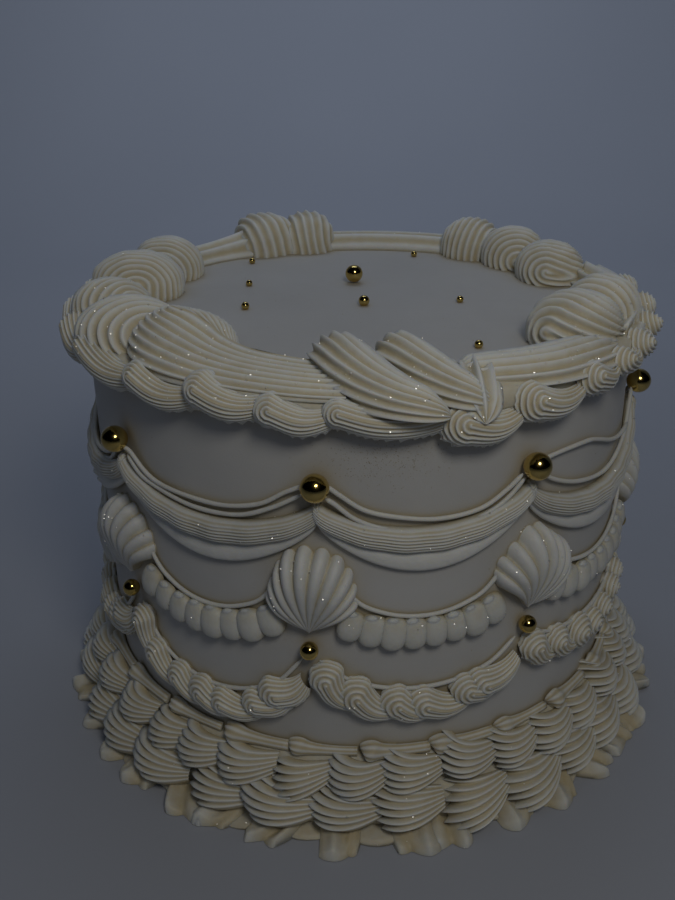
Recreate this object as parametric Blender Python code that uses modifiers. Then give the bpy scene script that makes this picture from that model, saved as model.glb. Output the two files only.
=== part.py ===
"""A round cake in smooth buttercream with piped borders, swags, fans and sugar pearls.

The cake stands on the XY plane with its axis on Z.  Angles are in degrees, counted from the front (-Y)
towards +X.  Piping on the side is drawn in three numbers: the angle round the cake, the height, and
the depth out from the wall.
"""

import math
import random

import bmesh
import bpy
from mathutils import Matrix, Vector

# Driving dimensions, in metres.
RADIUS = 0.082
HEIGHT = 0.1265
EDGE_ROUND = 0.003
GAP = 0.0003
WALL = RADIUS + GAP
TOP = HEIGHT + GAP
BODY_STEPS = 60

# The swags hang between eight pearls.  The front ones stand a little unevenly, as piped by hand.
PEAKS = (-49.9, -7.2, 31.4, 81.1, 126.9, 172.7, 218.5, 264.3)
FAN_SHIFTS = (-1.6, -1.8, 1.2, 0.6, -1.0, 0.8, -0.6, 1.2)
BAYS = len(PEAKS)

UPPER_PEARL_Z = 1.288 * RADIUS
UPPER_PEARL_RADIUS = 0.00365
LOWER_PEARL_Z = 0.697 * RADIUS
LOWER_PEARL_RADIUS = 0.0025
TOP_PEARL_RADIUS = 0.00285
TOP_PEARL_PLACE = (-176.5, 0.284 * RADIUS)
# Small pearls fused to the top face: angle, distance from the axis, radius.
SMALL_PEARLS = (
    (35.0, 0.036 * RADIUS, 0.0017),
    (-143.0, 0.760 * RADIUS, 0.0011),
    (-119.8, 0.502 * RADIUS, 0.0011),
    (-80.4, 0.425 * RADIUS, 0.00125),
    (161.0, 0.750 * RADIUS, 0.0011),
    (90.3, 0.381 * RADIUS, 0.0011),
    (36.9, 0.656 * RADIUS, 0.0012),
)
SMALL_PEARL_SINK = 0.15

# Upper drape: a combed ribbon with a flat band below it and a thin line above it.
RIBBON_PEAK_Z = 1.192 * RADIUS
RIBBON_SAGS = (0.121, 0.110, 0.152, 0.126, 0.118, 0.132, 0.122, 0.120)
RIBBON_HALF = 0.0038
RIBBON_DEPTH = 0.0042
BAND_DEPTH = 0.0016
BAND_DROP = 0.0042
LINE_RADIUS = 0.0009
LINE_RISE = 0.0036
DRAPE_STEPS = 7

# Bead garland: rounded tabs side by side.
BEAD_END_Z = 0.815 * RADIUS
BEAD_SAGS = (0.085, 0.060, 0.055, 0.075, 0.070, 0.080, 0.065, 0.075)
BEAD_HALF = 0.0050
BEAD_DEPTH = 0.0042
BEAD_PITCH = 4.4

# Rope garland: short star-tip shells with ragged lower edges.
ROPE_END_Z = 0.575 * RADIUS
ROPE_SAGS = (0.195, 0.125, 0.085, 0.150, 0.130, 0.160, 0.140, 0.170)
ROPE_HALF = 0.0049
ROPE_DEPTH = 0.0052
ROPE_SHELLS = 6

# Fans: scallop shells that point down.
FAN_LOW_Z = 0.760 * RADIUS
FAN_LENGTH = 0.0250
FAN_SIDE_LENGTH = 0.0167
FAN_SPREAD = 47.0
FAN_DEPTH = 0.0070
FAN_RIDGES = 7
FAN_CLEARANCE = 7.2

# Rim shells hang on the outer upper edge.  Above the top face they keep outside a cone.
RIM_Z = 1.522 * RADIUS
RIM_HALF = 0.0056
RIM_DEPTH = 0.0088
RIM_RIDGES = 3
CONE_SLOPE = 0.55
RIM_STARTS = (
    -64.5, -54.0, -42.0, -29.0, -17.0, -4.0, 12.0, 20.0, 30.0, 43.0, 54.0, 66.0, 78.0, 91.0, 103.0,
    116.0, 128.0, 141.0, 153.0, 166.0, 178.0, 191.0, 203.0, 216.0, 228.0, 241.0, 253.0, 266.0, 281.0,
)

# Top border: a flat ribbed rope round the top with big ridged shells in six groups.
BAND_CENTRE = 0.935 * RADIUS
BAND_HALF = 0.0080
BAND_HEIGHT = 0.0042
BAND_RIDGES = 3
BAND_STEPS = 45
BORDER_FOOT = 0.0010
ROOM_HEIGHT = 0.0300
# Each big shell: angle, distance from the axis over RADIUS, length, width, height, turn of its ridges.
BIG_SHELLS = (
    (-57.0, 0.90, 0.0300, 0.0240, 0.0136, 20.0),
    (-40.5, 0.86, 0.0310, 0.0260, 0.0130, 5.0),
    (-4.0, 0.87, 0.0340, 0.0200, 0.0125, -48.0),
    (10.0, 0.87, 0.0340, 0.0200, 0.0120, -46.0),
    (60.0, 0.86, 0.0300, 0.0270, 0.0145, 25.0),
    (76.0, 0.92, 0.0290, 0.0225, 0.0138, 35.0),
    (114.0, 0.84, 0.0260, 0.0220, 0.0128, 60.0),
    (132.5, 0.87, 0.0250, 0.0215, 0.0130, 58.0),
    (147.0, 0.89, 0.0250, 0.0200, 0.0136, 66.0),
    (-166.0, 0.91, 0.0250, 0.0180, 0.0134, 86.0),
    (-152.5, 0.94, 0.0250, 0.0190, 0.0140, 80.0),
    (-119.0, 0.90, 0.0260, 0.0190, 0.0136, 70.0),
    (-100.0, 0.87, 0.0310, 0.0270, 0.0142, 40.0),
    (-78.0, 0.91, 0.0270, 0.0200, 0.0120, 30.0),
)
BIG_SHELL_RIDGES = 6
BIG_SHELL_RINGS = 5
BIG_SHELL_VALLEY = 0.24
BIG_SHELL_TAPER = 0.22

# Base border: a line of beads, two rows of shells and a floor ruffle with pointed leaves.
FLOOR_LEAVES = 30
RUFFLE_HEIGHT = 0.0030
RUFFLE_TIP = 1.240 * RADIUS
RUFFLE_NOTCH = 1.160 * RADIUS
LOWER_SHELLS = 30
LOWER_SHELL_Z = 0.0088
LOWER_SHELL_HALF = 0.0055
LOWER_SHELL_DEPTH = 0.0155
UPPER_SHELLS = 36
UPPER_SHELL_Z = 0.0182
UPPER_SHELL_HALF = 0.0050
UPPER_SHELL_DEPTH = 0.0105
ROW_SPLIT_Z = 0.0142
ROW_SPLIT_SLOPE = 0.12
BEAD_LINE_COUNT = 26
BEAD_LINE_Z = 0.0238
BEAD_LINE_HALF = 0.0018
BEAD_LINE_DEPTH = 0.0046
BEAD_LINE_FOOT = UPPER_SHELL_Z + UPPER_SHELL_HALF - 0.0014

IVORY = (0.86, 0.81, 0.68, 1.0)
SMOOTH_ICING = (0.84, 0.83, 0.80, 1.0)
GOLD = (0.80, 0.60, 0.22, 1.0)


def clear_scene():
    for item in list(bpy.data.objects):
        bpy.data.objects.remove(item, do_unlink=True)


def make_collection(name):
    collection = bpy.data.collections.new(name)
    bpy.context.scene.collection.children.link(collection)
    return collection


def make_material(name, colour, roughness, metallic=0.0):
    material = bpy.data.materials.new(name)
    material.use_nodes = True
    shader = material.node_tree.nodes["Principled BSDF"]
    shader.inputs["Base Color"].default_value = colour
    shader.inputs["Roughness"].default_value = roughness
    shader.inputs["Metallic"].default_value = metallic
    return material


def around(angle, radius, z):
    """A point at an angle from the front, a distance from the axis and a height."""
    turn = math.radians(angle)
    return Vector((radius * math.sin(turn), -radius * math.cos(turn), z))


def finish_mesh(bm, name, collection, material):
    bmesh.ops.recalc_face_normals(bm, faces=bm.faces)
    mesh = bpy.data.meshes.new(name)
    bm.to_mesh(mesh)
    bm.free()
    mesh.materials.append(material)
    mesh.shade_smooth()
    mesh.set_sharp_from_angle(angle=math.radians(40.0))
    item = bpy.data.objects.new(name, mesh)
    collection.objects.link(item)
    return item


def loft(name, rings, collection, material, closed=False):
    """Skin through rings of equal length.  An open loft gets flat caps, a closed one meets itself."""
    bm = bmesh.new()
    rows = [[bm.verts.new(point) for point in ring] for ring in rings]
    count = len(rows[0])
    last = len(rows) if closed else len(rows) - 1
    for i in range(last):
        low = rows[i]
        high = rows[(i + 1) % len(rows)]
        for j in range(count):
            k = (j + 1) % count
            bm.faces.new((low[j], low[k], high[k], high[j]))
    if not closed:
        bm.faces.new(rows[0])
        bm.faces.new(rows[-1])
    return finish_mesh(bm, name, collection, material)


def take_modifiers(item):
    """A copy of an object's mesh with its modifiers applied."""
    graph = bpy.context.evaluated_depsgraph_get()
    return bpy.data.meshes.new_from_object(item.evaluated_get(graph))


def keep_largest_shell(mesh):
    """Delete all but the largest shell of faces: this fills sealed hollows and drops loose scraps."""
    bm = bmesh.new()
    bm.from_mesh(mesh)
    left = set(bm.verts)
    shells = []
    while left:
        edge = [left.pop()]
        shell = set(edge)
        while edge:
            vert = edge.pop()
            for link in vert.link_edges:
                other = link.other_vert(vert)
                if other in left:
                    left.remove(other)
                    shell.add(other)
                    edge.append(other)
        shells.append(shell)
    largest = max(shells, key=len)
    extra = [vert for vert in bm.verts if vert not in largest]
    bmesh.ops.delete(bm, geom=extra, context="VERTS")
    bm.to_mesh(mesh)
    bm.free()


def fuse(name, first, pieces, collection, material, room=None):
    """Join closed pieces into one solid, keep what lies inside the room, and remove the pieces."""
    group = make_collection(name + "_pieces")
    for piece in pieces:
        for old in list(piece.users_collection):
            old.objects.unlink(piece)
        group.objects.link(piece)
    union = first.modifiers.new("union", "BOOLEAN")
    union.operation = "UNION"
    union.operand_type = "COLLECTION"
    union.collection = group
    union.solver = "MANIFOLD"
    if room:
        keep = first.modifiers.new("keep", "BOOLEAN")
        keep.operation = "INTERSECT"
        keep.object = room
        keep.solver = "MANIFOLD"
    mesh = take_modifiers(first)
    keep_largest_shell(mesh)
    for piece in [first] + list(group.objects):
        bpy.data.objects.remove(piece, do_unlink=True)
    bpy.data.collections.remove(group)
    mesh.name = name
    mesh.materials.clear()
    mesh.materials.append(material)
    item = bpy.data.objects.new(name, mesh)
    collection.objects.link(item)
    return item


def hang(t):
    """How far a swag hangs between its ends, from 0 at both ends to 1 in the middle."""
    return max(0.0, 4.0 * t * (1.0 - t)) ** 0.7


def bay(index):
    """Start and end angle of one swag."""
    start = PEAKS[index]
    end = PEAKS[(index + 1) % BAYS]
    if end < start:
        end += 360.0
    return start, end


def ridge(j, depth):
    """Scale of point j of a ridged section: ridges at odd points, valleys between them."""
    return 1.0 if j % 2 else 1.0 - depth


def make_sphere(name, radius, place, collection, material, segments=8, rings=6):
    bpy.ops.mesh.primitive_uv_sphere_add(
        segments=segments, ring_count=rings, radius=radius, location=place
    )
    item = bpy.context.object
    item.name = name
    item.data.materials.append(material)
    item.data.shade_smooth()
    for old in list(item.users_collection):
        old.objects.unlink(item)
    collection.objects.link(item)
    return item


def make_body(collection, material):
    """The iced cake: a turned profile with a rounded top edge, and the small pearls on its top."""
    corner = HEIGHT - EDGE_ROUND
    profile = [(0.0, HEIGHT), (RADIUS - EDGE_ROUND, HEIGHT)]
    for step in (1, 2):
        turn = math.radians(90.0 - 45.0 * step)
        reach = RADIUS - EDGE_ROUND + EDGE_ROUND * math.cos(turn)
        profile.append((reach, corner + EDGE_ROUND * math.sin(turn)))
    profile += [(RADIUS, 0.0), (0.0, 0.0)]
    bm = bmesh.new()
    points = [bm.verts.new((x, 0.0, z)) for x, z in profile]
    for a, b in zip(points, points[1:]):
        bm.edges.new((a, b))
    mesh = bpy.data.meshes.new("cake_profile")
    bm.to_mesh(mesh)
    bm.free()
    turned = bpy.data.objects.new("cake_profile", mesh)
    collection.objects.link(turned)
    screw = turned.modifiers.new("turn", "SCREW")
    screw.axis = "Z"
    screw.steps = BODY_STEPS
    screw.render_steps = BODY_STEPS
    screw.use_merge_vertices = True
    screw.merge_threshold = 0.00001
    solid = take_modifiers(turned)
    bpy.data.objects.remove(turned, do_unlink=True)
    bm = bmesh.new()
    bm.from_mesh(solid)
    bmesh.ops.remove_doubles(bm, verts=bm.verts, dist=0.00001)
    bpy.data.meshes.remove(solid)
    body = finish_mesh(bm, "cake_blank", collection, material)
    pearls = []
    for i, (angle, reach, radius) in enumerate(SMALL_PEARLS):
        place = around(angle, reach, HEIGHT + radius * (1.0 - SMALL_PEARL_SINK))
        pearls.append(make_sphere("small_pearl_%d" % i, radius, place, collection, material, 6, 4))
    return fuse("cake_body", body, pearls, collection, material)


def make_pearls(collection, material):
    for i, peak in enumerate(PEAKS):
        place = around(peak, WALL + UPPER_PEARL_RADIUS, UPPER_PEARL_Z)
        make_sphere("upper_pearl_%d" % (i + 1), UPPER_PEARL_RADIUS, place, collection, material)
        place = around(peak + FAN_SHIFTS[i], WALL + LOWER_PEARL_RADIUS, LOWER_PEARL_Z)
        make_sphere("lower_pearl_%d" % (i + 1), LOWER_PEARL_RADIUS, place, collection, material, 8, 5)
    angle, reach = TOP_PEARL_PLACE
    place = around(angle, reach, TOP + TOP_PEARL_RADIUS)
    make_sphere("top_pearl", TOP_PEARL_RADIUS, place, collection, material)


def drape_section(angle, t, sag):
    """Ribbon and band of the upper drape at one angle, from the lower edge round to the upper edge."""
    centre = RIBBON_PEAK_Z - sag * RADIUS * hang(t)
    low = centre - RIBBON_HALF
    drop = 0.0006 + BAND_DROP * hang(t) ** 2
    outline = (
        (low - drop, 0.0),
        (low - 0.8 * drop, BAND_DEPTH),
        (low, BAND_DEPTH),
        (low + 0.0004, 0.9 * RIBBON_DEPTH),
        (centre, RIBBON_DEPTH),
        (centre + 0.7 * RIBBON_HALF, 0.9 * RIBBON_DEPTH),
        (centre + RIBBON_HALF, 0.0),
    )
    return [around(angle, WALL + depth, z) for z, depth in outline]


def line_section(angle, t, sag):
    """The thin line above the ribbon, four-sided: it leaves the ribbon's upper edge in mid swag."""
    edge = RIBBON_PEAK_Z - sag * RADIUS * hang(t) + RIBBON_HALF
    centre = edge - 0.5 * LINE_RADIUS + LINE_RISE * hang(t) ** 3
    return [
        around(angle, WALL + LINE_RADIUS + LINE_RADIUS * a, centre + LINE_RADIUS * b)
        for a, b in ((-1.0, -1.0), (1.0, -1.0), (1.0, 1.0), (-1.0, 1.0))
    ]


def make_drape(index, collection, material):
    start, end = bay(index)
    margin = math.degrees(GAP / RADIUS)
    ribbon = []
    line = []
    for step in range(DRAPE_STEPS + 1):
        t = step / DRAPE_STEPS
        angle = start + margin + (end - start - 2.0 * margin) * t
        ribbon.append(drape_section(angle, t, RIBBON_SAGS[index]))
        if 0 < step < DRAPE_STEPS:
            line.append(line_section(angle, t, RIBBON_SAGS[index]))
    name = "upper_drape_%d" % (index + 1)
    first = loft("ribbon", ribbon, collection, material)
    second = loft("line", line, collection, material)
    return fuse(name, first, [second], collection, material)


def garland_ends(index, clear):
    """Angles between two neighbouring fans or pearls, with room left at both ends."""
    start, end = bay(index)
    after = (index + 1) % BAYS
    return start + FAN_SHIFTS[index] + clear, end + FAN_SHIFTS[after] - clear


def make_bead_garland(index, collection, material):
    start, end = garland_ends(index, FAN_CLEARANCE)
    tabs = max(4, round((end - start) / BEAD_PITCH))
    rings = []
    for step in range(2 * tabs + 1):
        t = step / (2 * tabs)
        angle = start + (end - start) * t
        centre = BEAD_END_Z - BEAD_SAGS[index] * RADIUS * hang(t)
        full = step % 2 == 1
        depth = BEAD_DEPTH if full else 0.45 * BEAD_DEPTH
        low = centre - (BEAD_HALF if full else 0.70 * BEAD_HALF)
        high = centre + (BEAD_HALF if full else 0.90 * BEAD_HALF)
        outline = ((low, 0.0), (low + 0.0012, depth), (centre + 0.0022, depth), (high, 0.0))
        rings.append([around(angle, WALL + d, z) for z, d in outline])
    return loft("bead_garland_%d" % (index + 1), rings, collection, material)


def make_rope_garland(index, collection, material):
    draw = random.Random(40 + index)
    start, end = garland_ends(index, 0.4)
    rings = []
    for shell in range(ROPE_SHELLS):
        size = 1.0 + draw.uniform(-0.08, 0.08)
        for phase, grow in ((0.0, 0.60), (0.18, 1.0), (0.60, 0.85)):
            t = (shell + phase) / ROPE_SHELLS
            rings.append((t, grow * size))
    rings.append((1.0, 0.55))
    sections = []
    for t, grow in rings:
        angle = start + (end - start) * t
        centre = ROPE_END_Z - ROPE_SAGS[index] * RADIUS * hang(t)
        half = ROPE_HALF * (0.45 + 0.55 * grow)
        depth = ROPE_DEPTH * grow
        outline = (
            (centre - half, 0.0),
            (centre - 0.85 * half, 0.80 * depth),
            (centre - 0.10 * half, depth),
            (centre + 0.60 * half, 0.75 * depth),
            (centre + 0.85 * half, 0.0),
        )
        sections.append([around(angle, WALL + d, z) for z, d in outline])
    return loft("rope_garland_%d" % (index + 1), sections, collection, material)


def make_fan(index, collection, material):
    """A scallop shell with its point down: ridges run from the point to the rounded upper edge."""
    centre_angle = PEAKS[index] + FAN_SHIFTS[index]
    rays = 2 * FAN_RIDGES
    bm = bmesh.new()
    point = bm.verts.new(around(centre_angle, WALL + 0.3 * FAN_DEPTH, FAN_LOW_Z))
    foot = bm.verts.new(around(centre_angle, WALL, FAN_LOW_Z + 0.0008))
    rows = []
    for i in range(rays + 1):
        across = i / rays * 2.0 - 1.0
        turn = math.radians(FAN_SPREAD * across)
        length = FAN_SIDE_LENGTH + (FAN_LENGTH - FAN_SIDE_LENGTH) * math.cos(1.4 * across)
        length *= 1.0 if i % 2 else 0.93
        swell = math.sqrt(max(0.0, 1.0 - 0.75 * across * across)) * ridge(i, 0.30)
        row = []
        for along, rise in ((0.45, 0.90), (0.82, 1.0), (1.0, 0.0)):
            side = length * along * math.sin(turn)
            z = FAN_LOW_Z + length * along * math.cos(turn)
            angle = centre_angle + math.degrees(side / WALL)
            row.append(bm.verts.new(around(angle, WALL + FAN_DEPTH * rise * swell, z)))
        rows.append(row)
    for a, b in zip(rows, rows[1:]):
        bm.faces.new((point, a[0], b[0]))
        bm.faces.new((a[0], a[1], b[1], b[0]))
        bm.faces.new((a[1], a[2], b[2], b[1]))
        bm.faces.new((foot, b[2], a[2]))
    first, last = rows[0], rows[-1]
    for row in (first, last):
        bm.faces.new((point, row[0], row[1], row[2], foot) if row is last else
                     (foot, row[2], row[1], row[0], point))
    return finish_mesh(bm, "fan_%d" % (index + 1), collection, material)


def shell_phases(starts, phases):
    """Angles and sizes round a row of shells: each swells quickly at its head and tapers to its tail."""
    stops = list(starts) + [starts[0] + 360.0]
    stations = []
    for i, (head, tail) in enumerate(zip(stops, stops[1:])):
        for phase, grow in phases:
            stations.append((head + (tail - head) * phase, grow, i))
    return stations


def cone_reach(z):
    """Distance from the axis at which the top border ends and the rim shells begin."""
    return RADIUS + CONE_SLOPE * max(0.0, z - HEIGHT)


def make_rim_shells(collection, material):
    draw = random.Random(7)
    sizes = [1.0 + draw.uniform(-0.08, 0.10) for _ in RIM_STARTS]
    rings = []
    for angle, grow, i in shell_phases(RIM_STARTS, ((0.0, 0.66), (0.16, 1.0), (0.62, 0.86))):
        half = RIM_HALF * (0.5 + 0.5 * grow) * sizes[i]
        depth = RIM_DEPTH * grow * sizes[i]
        ring = []
        points = 2 * RIM_RIDGES
        for j in range(points + 1):
            turn = math.radians(-90.0 + 180.0 * j / points)
            scale = ridge(j, 0.16) if 0 < j < points else 1.0
            z = RIM_Z + half * math.sin(turn) * scale
            reach = WALL + depth * math.cos(turn) * scale
            ring.append((max(reach, cone_reach(z) + GAP + 0.0001), z))
        back = HEIGHT - 0.0005
        ring.append((WALL, back))
        rings.append([around(angle, reach, z) for reach, z in ring])
    return loft("rim_shells", rings, collection, material, closed=True)


def make_band(collection, material):
    """The ribbed rope that lies on the rim of the top face, all the way round."""
    rings = []
    points = 2 * BAND_RIDGES
    for step in range(BAND_STEPS):
        angle = 360.0 * step / BAND_STEPS
        ring = []
        for j in range(points + 1):
            across = j / points * 2.0 - 1.0
            rise = BAND_HEIGHT * math.sqrt(max(0.0, 1.0 - across ** 4)) * ridge(j, 0.22)
            foot = -BORDER_FOOT if j in (0, points) else 0.0
            ring.append(around(angle, BAND_CENTRE + BAND_HALF * across, TOP + rise + foot))
        rings.append(ring)
    return loft("band", rings, collection, material, closed=True)


def make_big_shell(number, spec, collection, material):
    """A ridged shell: a sphere whose ridges run from pole to pole, laid on its side and flattened below."""
    angle, reach, length, width, height, turn = spec
    bm = bmesh.new()
    sides = 2 * BIG_SHELL_RIDGES
    bmesh.ops.create_uvsphere(bm, u_segments=sides, v_segments=BIG_SHELL_RINGS, radius=1.0)
    for vert in bm.verts:
        flat = math.hypot(vert.co.x, vert.co.y)
        if flat > 0.01:
            meridian = round(math.atan2(vert.co.y, vert.co.x) / (2.0 * math.pi) * sides)
            scale = ridge(meridian, BIG_SHELL_VALLEY) * (1.0 - BIG_SHELL_TAPER * vert.co.z)
            vert.co.x *= scale
            vert.co.y *= scale
    lay = Matrix.Rotation(math.radians(90.0), 4, "Y")
    bmesh.ops.transform(bm, matrix=lay, verts=bm.verts)
    half_height = 0.62 * height
    lift = height - half_height
    grow = Matrix.Diagonal((length / 2.0, width / 2.0, half_height, 1.0))
    bmesh.ops.transform(bm, matrix=grow, verts=bm.verts)
    spin = Matrix.Rotation(math.radians(angle + turn), 4, "Z")
    bmesh.ops.transform(bm, matrix=spin, verts=bm.verts)
    centre = around(angle, reach * RADIUS, TOP + lift)
    bmesh.ops.translate(bm, verts=bm.verts, vec=centre)
    return finish_mesh(bm, "big_shell_%d" % number, collection, material)


def make_border_room(collection, material):
    """The space of the top border: above the top face and inside the cone that parts it from the rim."""
    bm = bmesh.new()
    bmesh.ops.create_cone(
        bm,
        cap_ends=True,
        segments=BAND_STEPS,
        radius1=cone_reach(TOP),
        radius2=cone_reach(TOP + ROOM_HEIGHT),
        depth=ROOM_HEIGHT,
    )
    bmesh.ops.translate(bm, verts=bm.verts, vec=(0.0, 0.0, TOP + ROOM_HEIGHT / 2.0))
    room = finish_mesh(bm, "border_room", collection, material)
    room.hide_render = True
    room.display_type = "WIRE"
    return room


def make_top_border(collection, cutters, material):
    band = make_band(collection, material)
    room = make_border_room(cutters, material)
    shells = []
    for number, spec in enumerate(BIG_SHELLS):
        shells.append(make_big_shell(number, spec, collection, material))
    return fuse("top_border", band, shells, collection, material, room)


def even_starts(count, shift, seed, jitter):
    draw = random.Random(seed)
    pitch = 360.0 / count
    return [shift + pitch * (i + draw.uniform(-jitter, jitter)) for i in range(count)]


def row_split(reach):
    """Height of the sloping joint between the two rows of base shells."""
    return ROW_SPLIT_Z - ROW_SPLIT_SLOPE * (reach - RADIUS)


def make_lower_shells(collection, material):
    draw = random.Random(11)
    starts = even_starts(LOWER_SHELLS, 2.0, 3, 0.08)
    sizes = [1.0 + draw.uniform(-0.07, 0.06) for _ in starts]
    rings = []
    for angle, grow, i in shell_phases(starts, ((0.0, 0.72), (0.12, 1.0), (0.60, 0.88))):
        depth = LOWER_SHELL_DEPTH * grow * sizes[i]
        ring = [(WALL, RUFFLE_HEIGHT + GAP)]
        for j, turn in enumerate((-68.0, -38.0, -8.0, 22.0, 55.0)):
            scale = ridge(j + 1, 0.12)
            z = LOWER_SHELL_Z + LOWER_SHELL_HALF * math.sin(math.radians(turn)) * scale
            reach = WALL + depth * (1.0 - 0.45 * max(0.0, math.sin(math.radians(turn)))) * scale
            z = min(z, row_split(reach) - GAP)
            ring.append((reach, max(z, RUFFLE_HEIGHT + GAP)))
        ring.append((WALL, row_split(WALL) - GAP))
        rings.append([around(angle, reach, z) for reach, z in ring])
    return loft("base_lower_shells", rings, collection, material, closed=True)


def make_upper_shells(collection, material):
    draw = random.Random(12)
    starts = even_starts(UPPER_SHELLS, 5.0, 5, 0.08)
    sizes = [1.0 + draw.uniform(-0.08, 0.06) for _ in starts]
    rings = []
    for angle, grow, i in shell_phases(starts, ((0.0, 0.68), (0.20, 1.0))):
        depth = UPPER_SHELL_DEPTH * grow * sizes[i]
        ring = [(WALL, row_split(WALL) + GAP)]
        for j, turn in enumerate((-58.0, -12.0, 28.0, 62.0)):
            scale = ridge(j + 1, 0.10)
            z = UPPER_SHELL_Z + UPPER_SHELL_HALF * math.sin(math.radians(turn))
            reach = WALL + depth * (1.0 - 0.5 * max(0.0, math.sin(math.radians(turn)))) * scale
            z = max(z, row_split(reach) + GAP)
            ring.append((reach, min(z, BEAD_LINE_FOOT - GAP)))
        ring.append((WALL, BEAD_LINE_FOOT - GAP))
        rings.append([around(angle, reach, z) for reach, z in ring])
    return loft("base_upper_shells", rings, collection, material, closed=True)


def make_bead_line(collection, material):
    draw = random.Random(13)
    starts = even_starts(BEAD_LINE_COUNT, 0.7, 6, 0.10)
    sizes = [1.0 + draw.uniform(-0.12, 0.12) for _ in starts]
    rings = []
    for angle, grow, i in shell_phases(starts, ((0.0, 0.50), (0.15, 1.0), (0.45, 0.62))):
        high = BEAD_LINE_Z + BEAD_LINE_HALF * grow * sizes[i]
        depth = BEAD_LINE_DEPTH * grow * sizes[i]
        middle = 0.5 * (high + BEAD_LINE_FOOT)
        outline = ((BEAD_LINE_FOOT, 0.0), (BEAD_LINE_FOOT + 0.0003, 0.7 * depth), (middle, depth), (high, 0.0))
        rings.append([around(angle, WALL + d, z) for z, d in outline])
    return loft("base_bead_line", rings, collection, material, closed=True)


def make_ruffle(collection, material):
    draw = random.Random(14)
    starts = even_starts(FLOOR_LEAVES, -3.0, 8, 0.10)
    tips = [RUFFLE_TIP + draw.uniform(-0.0015, 0.0020) for _ in starts]
    rings = []
    for angle, grow, i in shell_phases(starts, ((0.0, 0.0), (0.35, 1.0), (0.70, 0.55))):
        tip = RUFFLE_NOTCH + (tips[i] - RUFFLE_NOTCH) * grow
        thick = RUFFLE_HEIGHT * (0.85 - 0.35 * grow)
        outline = (
            (WALL, 0.0),
            (tip, 0.0),
            (RUFFLE_NOTCH - 0.0020, thick),
            (WALL, RUFFLE_HEIGHT),
        )
        rings.append([around(angle, reach, z) for reach, z in outline])
    return loft("base_ruffle", rings, collection, material, closed=True)


def main():
    clear_scene()
    parts = make_collection("piped_cake")
    cutters = make_collection("cutters")
    smooth = make_material("smooth_icing", SMOOTH_ICING, 0.55)
    ivory = make_material("piped_buttercream", IVORY, 0.5)
    gold = make_material("gold_pearl", GOLD, 0.18, 1.0)
    make_body(parts, smooth)
    make_top_border(parts, cutters, ivory)
    make_rim_shells(parts, ivory)
    for index in range(BAYS):
        make_drape(index, parts, ivory)
        make_bead_garland(index, parts, ivory)
        make_rope_garland(index, parts, ivory)
        make_fan(index, parts, ivory)
    make_bead_line(parts, ivory)
    make_upper_shells(parts, ivory)
    make_lower_shells(parts, ivory)
    make_ruffle(parts, ivory)
    make_pearls(parts, gold)


main()
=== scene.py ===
"""A round cake in smooth buttercream, dressed with piped shells, swags, fans and gold pearls."""

import bpy
import numpy as np
from mathutils import Matrix, Vector
from numpy import clip, cos, degrees, maximum, minimum, pi, radians, sin, sqrt


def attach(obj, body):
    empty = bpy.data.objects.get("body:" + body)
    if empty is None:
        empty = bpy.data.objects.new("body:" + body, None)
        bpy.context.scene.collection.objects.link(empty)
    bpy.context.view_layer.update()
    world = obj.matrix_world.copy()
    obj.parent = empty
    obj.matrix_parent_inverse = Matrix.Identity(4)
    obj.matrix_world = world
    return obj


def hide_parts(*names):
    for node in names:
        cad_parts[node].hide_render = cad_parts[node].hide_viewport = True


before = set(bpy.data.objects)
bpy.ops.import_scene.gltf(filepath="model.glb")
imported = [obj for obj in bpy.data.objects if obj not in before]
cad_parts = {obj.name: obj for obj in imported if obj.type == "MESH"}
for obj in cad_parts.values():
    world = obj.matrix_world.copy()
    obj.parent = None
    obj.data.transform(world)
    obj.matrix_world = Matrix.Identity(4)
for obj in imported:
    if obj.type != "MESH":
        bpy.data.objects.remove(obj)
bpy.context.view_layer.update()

# Lengths are in metres, or in mm where it is said.  Angles are in degrees, from the front to the right.
# GAP is the small gap between the iced body and what lies on it.
MM = 0.001
RADIUS = 0.082
HEIGHT = 0.1265
EDGE_ROUND = 0.003
GAP = 0.0003
WALL = RADIUS + GAP
TOP = HEIGHT + GAP
UP = np.array([0.0, 0.0, 1.0])
FLAT = np.array([1.0, 1.0, 0.0])

# The angles where the bays meet, and how far the fans and the lower pearls stand aside from them.
PEAKS = (-49.9, -7.2, 31.4, 81.1, 126.9, 172.7, 218.5, 264.3)
FAN_SHIFTS = (-1.6, -1.8, 1.2, 0.6, -1.0, 0.8, -0.6, 1.2)
BAYS = len(PEAKS)

UPPER_PEARL_Z = 1.288 * RADIUS
UPPER_PEARL_RADIUS = 0.00365
LOWER_PEARL_Z = 0.697 * RADIUS
LOWER_PEARL_RADIUS = 0.0025
TOP_PEARL_RADIUS = 0.00285
# Where it lies: angle, distance from the axis.
TOP_PEARL_PLACE = (-176.5, 0.284 * RADIUS)
# The small pearls on the icing: angle, distance from the axis, radius.
SMALL_PEARLS = (
    (35.0, 0.036 * RADIUS, 0.0017), (-143.0, 0.760 * RADIUS, 0.0011), (-119.8, 0.502 * RADIUS, 0.0011),
    (-80.4, 0.425 * RADIUS, 0.00125), (161.0, 0.750 * RADIUS, 0.0011), (90.3, 0.381 * RADIUS, 0.0011),
    (36.9, 0.656 * RADIUS, 0.0012),
)

RIBBON_PEAK_Z = 1.192 * RADIUS
RIBBON_SAGS = (0.121, 0.110, 0.152, 0.126, 0.118, 0.132, 0.122, 0.120)
RIBBON_HALF = 0.0036
RIBBON_DEPTH = 0.0037
RIBBON_VALLEY = 0.00055
RIBBON_RIDGES = 8
BAND_DEPTH = 0.0016
BAND_DROP = 0.0042
BAND_EDGE = 0.0011
STRING_RADIUS = 0.00062
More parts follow.
